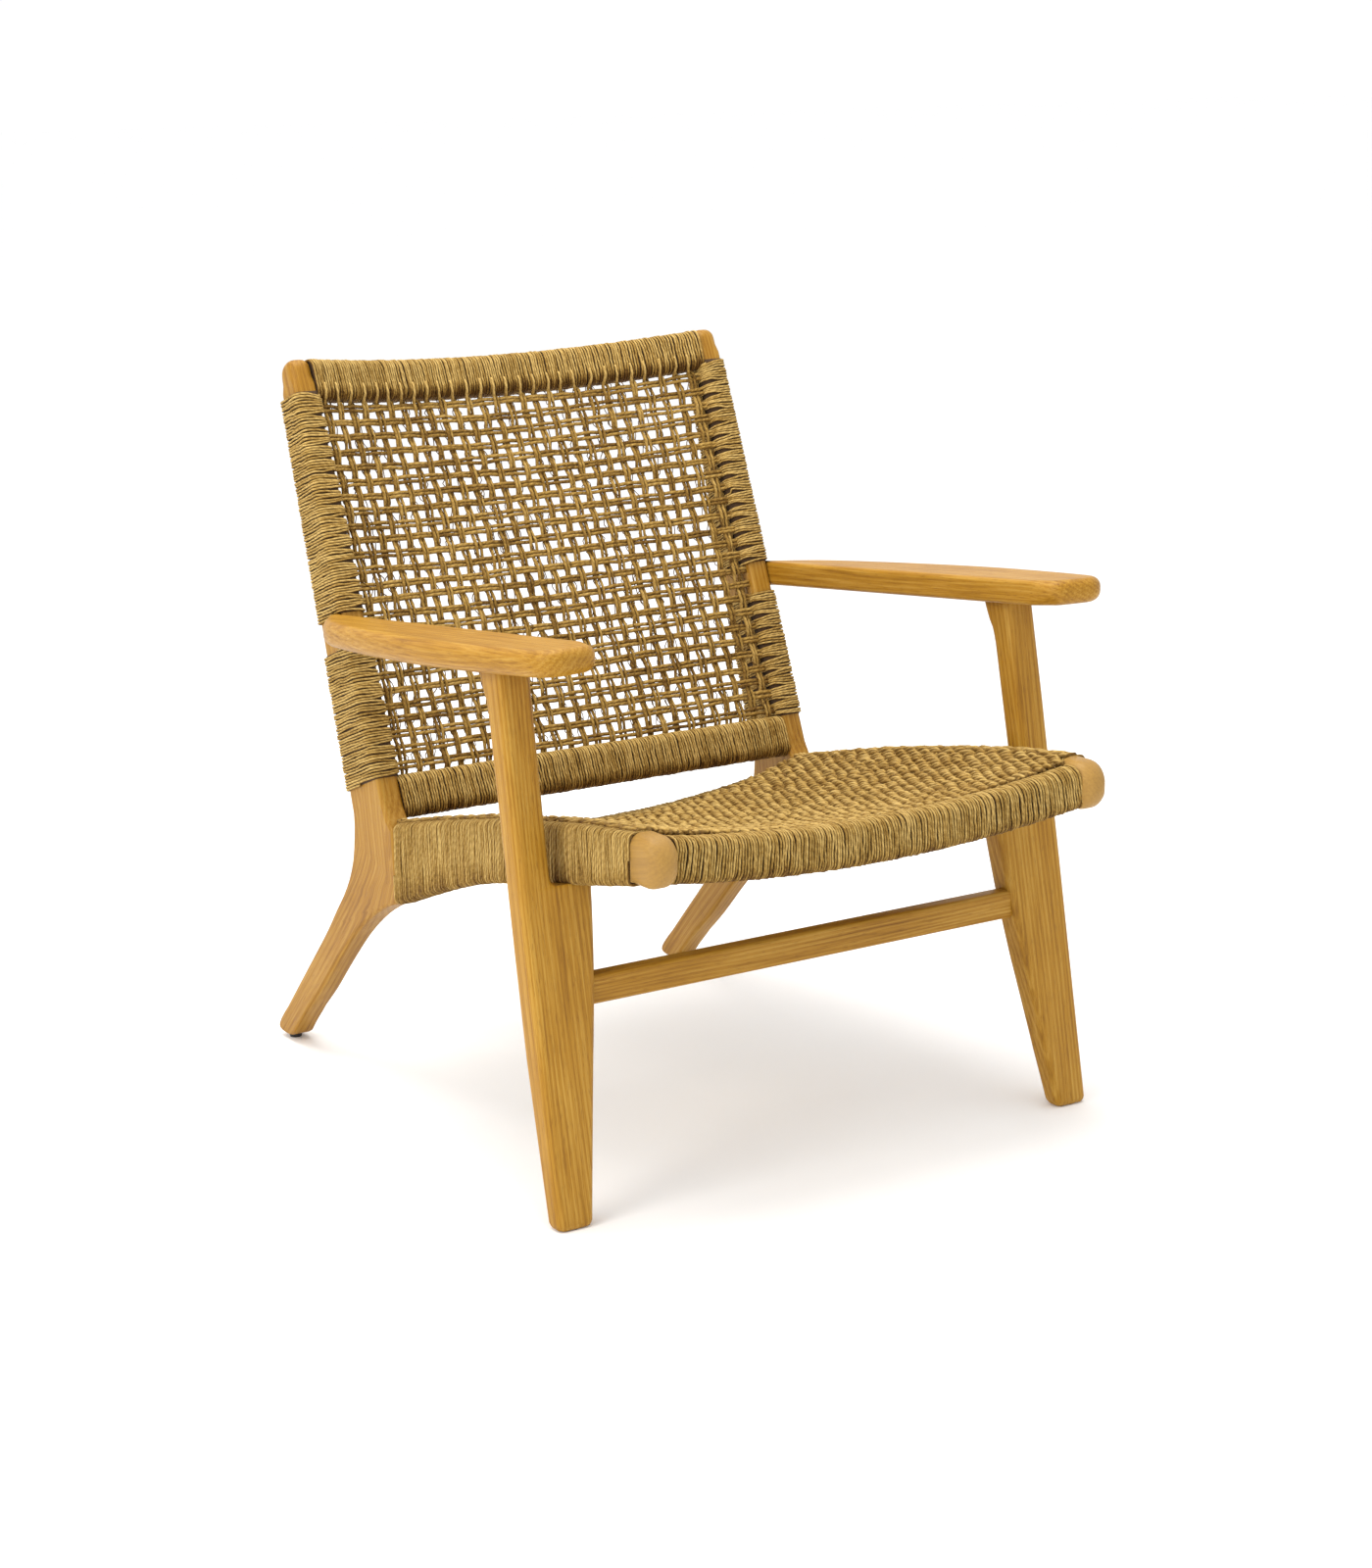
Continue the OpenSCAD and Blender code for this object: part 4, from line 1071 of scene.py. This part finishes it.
def make_back(s):
    """The open back: pairs of cords up and pairs across, over and under each other by turns. A
    pair's cords stand half their spacing to each side of its line, and the spacing wanders. At
    the top one cord of each pair climbs the face of the rail and its mate goes behind; below,
    both tuck in. Fine loose strands wander up beside the pairs."""
    d = s["mesh_cord"]
    cols, rows = s["columns"], s["rows"]
    px = 2 * MESH_HALF / cols
    hs = row_heights(s)
    mat = cord_material("back cord", shade=0.05, sides=0.4)
    groups = []
    i = np.arange(cols)[:, None]
    xs = -MESH_HALF + (np.arange(cols) + 0.5) * px + 0.9 * noise_line(np.arange(cols) * 1.3, 7)
    side = np.array([1.0, 0, 0])
    face = RAIL_N - 11 - UNDER - s["cord"]
    for k, sgn in enumerate((-1, 1)):
        S = np.broadcast_to(np.linspace(34, 463 if k == 0 else 452, 190), (cols, 190))
        phase = np.interp(S.ravel(), hs, np.arange(rows)).reshape(S.shape)
        wave = np.cos(np.pi * (phase + i))
        gap = d * 0.47 + 1.1 * np.clip(noise_field(S / 17 + 3 * i, i * 2.7 + 0 * S, 15), 0, 1)
        over = np.clip((S - MESH_HIGH + 4) / 10, 0, 1)
        under = np.clip((MESH_LOW + 3 - S) / 8, 0, 1)
        gap = gap * (1 - 0.6 * over)
        lean = -2.6 * over * (1 + noise_line(i * 1.0, 19))
        X = xs[:, None] + sgn * gap + lean + 0.8 * noise_field(S / 30, i * 1.7 + k + 0 * S, 17 + k)
        N = WEAVE_N + 1.6 * wave * (1 - over) * (1 - under) + setback(X, S)
        bow = setback(X, np.full_like(S, TOP_S))
        top = (face - 0.8 + bow) if k == 0 else (13.0 + bow)
        N = N * (1 - over) + top * over + 5.0 * under
        tuck = np.clip((S - 458) / 7, 0, 1)
        N = N + (2.6 * tuck**2 if k == 0 else 0)
        P = back_point(X, N, S)
        # 1.3 * over is a painted highlight: the strands are lighter where they climb the rail's
        #                                    face
        tone = 0.6 * noise_field(S / 40, i * 3.3 + k + 0 * S, 81) + 1.3 * over
        radius = d / 2 * (1 - 0.3 * over - 0.12 * k
                          + 0.12 * noise_field(S / 11, i * 2.1 + k + 0 * S, 85))
        groups.append((P, side, radius, tone))
    cord_piece("back_columns", groups, mat, slot="back_cord", stands_for=("back_warp",))
    groups = []
    across = np.linspace(-243, 243, 240)
    for k, sgn in enumerate((-1, 1)):
        X = np.broadcast_to(across, (rows, len(across)))
        j = np.arange(rows)[:, None]
        phase = np.interp(X.ravel(), xs, np.arange(cols)).reshape(X.shape)
        wave = -np.cos(np.pi * (phase + j))
        gap = d * 0.46 + 0.7 * np.clip(noise_field(X / 19 + 5 * j, j * 2.3 + 0 * X, 25), 0, 1)
        ends = np.clip((np.abs(X) - 222) / 18, 0, 1)
        S = hs[:, None] + sgn * gap + 1.0 * noise_field(X / 45, j * 1.9 + k + 0 * X, 27 + k)
        S = S + 1.4 * noise_field(X / 110, j * 0.8 + 0 * X, 29)
        N = WEAVE_N + 1.6 * wave * (1 - ends) + setback(X, S)
        P = back_point(X, N, S)
        tone = 0.6 * noise_field(X / 40, j * 3.3 + k + 0 * X, 83)
        radius = d / 2 * (1 + 0.1 * noise_field(X / 11, j * 2.1 + k + 0 * X, 86))
        groups.append((P, np.array([0, math.sin(LEAN), math.cos(LEAN)]), radius, tone))
    cord_piece("back_rows", groups, mat, slot="back_cord", stands_for=("back_weft",))
    groups = []
    for k in (-1, 1):
        S = np.linspace(MESH_LOW, MESH_HIGH, 160)[None]
        lines = np.array([[232.0], [236.5], [240.0]]) * k
        j = np.array([[1.0], [2.0], [3.0]])
        X = lines + 1.2 * noise_field(S / 13, j * 7.3 + 0 * S, 53 + k)
        N = 9.0 + 3.4 * j + 1.5 * noise_field(S / 8, j * 5.1 + 0 * S, 57 + k) + setback(X, S)
        groups.append((back_point(X, N, S + 0 * X), side, 1.2, 0.5 + 0 * X))
    for k, (reach, pace) in enumerate(((5.6, 9.0), (6.2, 13.0), (5.0, 6.5), (6.4, 10.0))):
        S = np.broadcast_to(np.linspace(48, 446, 130), (cols, 130))
        X = xs[:, None] + reach * (noise_field(S / pace, i * 2.9 + 0 * S, 33 + k)
                                   + 0.5 * noise_line(i * 1.7, 37 + k))
        X = np.clip(X, -MESH_HALF, MESH_HALF)
        N = WEAVE_N + 3.0 * noise_field(S / 8, i * 1.9 + 0 * S, 41 + k) + setback(X, S)
        groups.append((back_point(X, N, S), side, 0.6, -0.7 + 0 * X))
    cord_piece("back_strands", groups, mat, sides=4, slot="back_cord", stands_for=("back_warp",))


SEAT_EDGE = 250.0  # half width at which the seat lies highest, on the side rails


def seat_height(x, y):
    """Seat surface: a hanging middle line from the front to the rear rail, and from it a curve a
    little steeper than a square up to the tops of the side rails, past which it turns down."""
    t = np.clip((y + 322) / (166 + 322), 0, 1)
    mid = 365.5 + (262 - 365.5) * t - 5.0 * np.sin(np.pi * t)
    top = smooth_line(RAIL_TOP, 8)
    edge = np.interp(y, top[:, 0], top[:, 1]) + 4.6
    r = np.abs(x) / SEAT_EDGE
    past = np.clip(np.abs(x) - SEAT_EDGE, 0, None)
    return mid + (edge - mid) * np.minimum(r, 1) ** 2.2 - past**2 * 0.035


def make_seat(s):
    """The seat: thick cords from front to back over thin cross cords. Each goes over one cross cord
    and under the next, out of step with its neighbours, so its stitches show like laid grains of
    rice, and swings to one side as it rises, which slants them."""
    d = s["seat_cord"]
    n, m = s["seat_runs"], s["seat_rows"]
    mat = cord_material("seat cord", shade=-0.02, lay=0.012, sides=0.7, plies=0.4)
    x0, x1, y0, y1 = 258.0, 263.0, -313.0, 157.0
    py = (y1 - y0) / m
    i = np.arange(n)[:, None]
    xs = -x0 + (i + 0.5) * 2 * x0 / n
    y = np.linspace(y0, y1, 7 * m + 1)
    front = np.where(np.abs(xs) > 236, -303.5, y0)
    Y = front + (y - y0) * (y1 - front) / (y1 - y0)
    b = (Y - y0) / py - 0.5 + 0.55 * noise_field(Y / 33, i * 0.6 + 0 * Y, 4) + i % 2
    X = xs - 1.2 * np.sin(np.pi * b) + 0.9 * noise_field(Y / 11, i * 0.8 + 0 * Y, 5)
    flat = np.clip((250 - np.abs(X)) / 6, 0, 1)
    Z = (seat_height(X, Y) + d * 0.34 * np.tanh(1.3 * np.cos(np.pi * b)) * flat
         + 0.7 * noise_field(Y / 8, i * 1.3 + 0 * Y, 6))
    # the cos term is painted light and shade: lighter on the stitch tops, darker where the cord
    # dives under a cross cord
    tone = 0.8 * noise_field(Y / 12, i * 0.9 + 0 * Y, 91) + 0.35 * np.cos(np.pi * b)
    rad = d / 2 * (1 + 0.14 * noise_field(Y / 9, i * 1.1 + 0 * Y, 92))
    P = np.stack([X, Y, Z], -1)
    for side, part in (("left", slice(0, n // 2)), ("right", slice(n // 2, n))):
        cord_piece("seat_runs_" + side, [(P[part], np.array([1.0, 0, 0]), rad[part], tone[part])],
                   mat, sides=5, slot="seat_cord", stands_for=("seat_weave",))
    x = np.linspace(-x1, x1, 4 * n)
    j = np.arange(m)[:, None]
    X = x * np.where(y0 + (j + 0.5) * py < -302, 237 / x1, 1.0)
    Y = y0 + (j + 0.5) * py + 1.5 * noise_field(X / 11, j * 0.8 + 0 * X, 8)
    Z = seat_height(X, Y) - 1.0 + 0.9 * noise_field(X / 8, j * 1.3 + 0 * X, 9)
    tone = 0.6 * noise_field(X / 12, j + 0 * X, 93)
    row = (np.stack([X, Y, Z], -1), np.array([0, 1.0, 0]), 1.9, tone)
    cord_piece("seat_rows", [row], mat, sides=5, slot="seat_cord", stands_for=("seat_weave",))


def make_kept_parts():
    """Materials for the frame's own parts that stay: the rails inside the windings, dowels,
    glides."""
    lots = (
        # the rails show only between the turns, so they get the painted shade
        (painted_shade_material("rail painted shade"), ("seat_front_rail", "seat_rear_rail", "back_top_rail",
                                      "back_lower_rail")),
        (wood("dowel wood", source="object", turn=(0, math.pi / 2, 0)),
         ("arm_dowels", "leg_dowels")),
        (plastic("glide plastic"), ("rear_glides", "front_glides")),
    )
    for material, names in lots:
        for n in names:
            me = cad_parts[n].data
            me.materials.clear()
            me.materials.append(material)


# ---- stage -------------------------------------------------------------------------------------


FLOOR_HALF = 30.0
WORLD_LIGHT = 1.02
# name, place, aim, width of the disc, watts, tint
LAMPS = (("key", (-3.0, -0.6, 2.0), (0, 0, 0.4), 1.6, 42, (1, 0.97, 0.92)),
         ("top", (-0.2, 0.3, 2.9), (0, 0, 0.3), 2.2, 62, (1, 0.98, 0.95)))
CAMERA_AT = (-1.72479, -2.65369, 1.09832)
CAMERA_RIGHT = (0.832959, -0.553242, -0.010097)
CAMERA_UP = (0.132025, 0.180991, 0.974583)
CAMERA_LENS = 72.0056
CAMERA_SHIFT = (-0.00226, -0.02741)


def lamp(name, at, aim, size, power, tint):
    """A round soft lamp at a place, turned to its aim."""
    data = bpy.data.lights.new(name, "AREA")
    data.shape = "DISK"
    data.size = size
    data.energy = power
    data.color = tint
    ob = bpy.data.objects.new(name, data)
    bpy.context.scene.collection.objects.link(ob)
    ob.location = at
    ob.rotation_mode = "QUATERNION"
    ob.rotation_quaternion = Vector(np.array(aim) - np.array(at)).to_track_quat("-Z", "Y")


def make_stage():
    """Pale flat floor, white surroundings, soft studio lights and the camera."""
    c = colours()
    k = Nodes("studio paper")
    obj = k.add("TexCoord").outputs["Object"]
    n = k.noise(obj, 6.0, 2.0)
    k.link(k.mix(n, c["backdrop"], tuple(min(1.0, q * 1.03) for q in c["backdrop"])),
           k.shader.inputs["Base Color"])
    k.shader.inputs["Roughness"].default_value = 0.9
    me = bpy.data.meshes.new("floor")
    corners = ((-1, -1), (1, -1), (1, 1), (-1, 1))
    me.from_pydata([(x * FLOOR_HALF, y * FLOOR_HALF, 0) for x, y in corners], [], [(0, 1, 2, 3)])
    me.materials.append(k.m)
    floor = bpy.data.objects.new("floor", me)
    bpy.context.scene.collection.objects.link(floor)
    world = bpy.context.scene.world or bpy.data.worlds.new("studio")
    bpy.context.scene.world = world
    world.use_nodes = True
    bg = world.node_tree.nodes.get("Background")
    bg.inputs[0].default_value = (1, 1, 1, 1)
    bg.inputs[1].default_value = WORLD_LIGHT
    for row in LAMPS:
        lamp(*row)
    right, up = np.array(CAMERA_RIGHT), np.array(CAMERA_UP)
    back = np.cross(right, up)
    m = np.eye(4)
    m[:3, 0], m[:3, 1], m[:3, 2] = unit(right), unit(up), unit(back)
    m[:3, 3] = CAMERA_AT
    data = bpy.data.cameras.new("camera")
    data.sensor_width = 36.0
    data.lens = CAMERA_LENS
    data.shift_x, data.shift_y = CAMERA_SHIFT
    data.clip_end = 60
    cam = bpy.data.objects.new("camera", data)
    bpy.context.scene.collection.objects.link(cam)
    cam.matrix_world = Matrix(m.tolist())
    bpy.context.scene.camera = cam
    bpy.context.scene.view_settings.view_transform = "Standard"


# ---- operators ---------------------------------------------------------------------------------


class ARMCHAIR_OT_side_planks(bpy.types.Operator):
    """Builds both side planks"""
    bl_idname = "armchair.side_planks"
    bl_label = "Side planks"

    def execute(self, context):
        make_side_frames(sizes())
        return {"FINISHED"}


class ARMCHAIR_OT_seat_rails(bpy.types.Operator):
    """Builds both side rails with their horns"""
    bl_idname = "armchair.seat_rails"
    bl_label = "Side rails"

    def execute(self, context):
        make_side_rails(sizes())
        return {"FINISHED"}


class ARMCHAIR_OT_arms(bpy.types.Operator):
    """Builds both arms"""
    bl_idname = "armchair.arms"
    bl_label = "Arms"

    def execute(self, context):
        make_arms(sizes())
        return {"FINISHED"}


class ARMCHAIR_OT_front_legs(bpy.types.Operator):
    """Builds both front legs and the bar between them"""
    bl_idname = "armchair.front_legs"
    bl_label = "Front legs and bar"

    def execute(self, context):
        make_front_legs(sizes())
        make_stretcher(sizes())
        return {"FINISHED"}


class ARMCHAIR_OT_windings(bpy.types.Operator):
    """Winds the cord on rails and posts"""
    bl_idname = "armchair.windings"
    bl_label = "Windings"

    def execute(self, context):
        make_windings(sizes())
        return {"FINISHED"}


class ARMCHAIR_OT_back(bpy.types.Operator):
    """Weaves the open back"""
    bl_idname = "armchair.back"
    bl_label = "Back weave"

    def execute(self, context):
        make_back(sizes())
        return {"FINISHED"}


class ARMCHAIR_OT_seat(bpy.types.Operator):
    """Weaves the seat"""
    bl_idname = "armchair.seat"
    bl_label = "Seat weave"

    def execute(self, context):
        make_seat(sizes())
        return {"FINISHED"}


class ARMCHAIR_OT_kept(bpy.types.Operator):
    """Gives the frame's own rails, dowels and glides their materials"""
    bl_idname = "armchair.kept"
    bl_label = "Rails and glides"

    def execute(self, context):
        make_kept_parts()
        return {"FINISHED"}


class ARMCHAIR_OT_stage(bpy.types.Operator):
    """Sets the floor, the lights and the camera"""
    bl_idname = "armchair.stage"
    bl_label = "Stage"

    def execute(self, context):
        make_stage()
        return {"FINISHED"}


OPERATORS = (
    ARMCHAIR_OT_side_planks, ARMCHAIR_OT_seat_rails, ARMCHAIR_OT_arms, ARMCHAIR_OT_front_legs,
    ARMCHAIR_OT_windings, ARMCHAIR_OT_back, ARMCHAIR_OT_seat, ARMCHAIR_OT_kept, ARMCHAIR_OT_stage,
)


class ARMCHAIR_PT_panel(bpy.types.Panel):
    """Sizes, colours and the build steps in the sidebar"""
    bl_idname = "ARMCHAIR_PT_panel"
    bl_label = "Armchair"
    bl_space_type = "VIEW_3D"
    bl_region_type = "UI"
    bl_category = "Armchair"

    def draw(self, context):
        col = self.layout.column()
        for group in (context.scene.armchair_sizes, context.scene.armchair_colours):
            for name in group.__annotations__:
                col.prop(group, name)
        for op in OPERATORS:
            col.operator(op.bl_idname)


CLASSES = (ArmchairSizes, ArmchairColours, *OPERATORS, ARMCHAIR_PT_panel)


def register():
    """Registers the classes and the two groups of settings."""
    for c in CLASSES:
        bpy.utils.register_class(c)
    bpy.types.Scene.armchair_sizes = bpy.props.PointerProperty(type=ArmchairSizes)
    bpy.types.Scene.armchair_colours = bpy.props.PointerProperty(type=ArmchairColours)


def unregister():
    """Takes away what register added."""
    del bpy.types.Scene.armchair_sizes
    del bpy.types.Scene.armchair_colours
    for c in reversed(CLASSES):
        bpy.utils.unregister_class(c)


def main():
    """Builds the chair and the stage."""
    register()
    bpy.ops.armchair.side_planks()
    bpy.ops.armchair.seat_rails()
    bpy.ops.armchair.arms()
    bpy.ops.armchair.front_legs()
    bpy.ops.armchair.windings()
    bpy.ops.armchair.back()
    bpy.ops.armchair.seat()
    bpy.ops.armchair.kept()
    bpy.ops.armchair.stage()


if __name__ == "__main__":
    main()
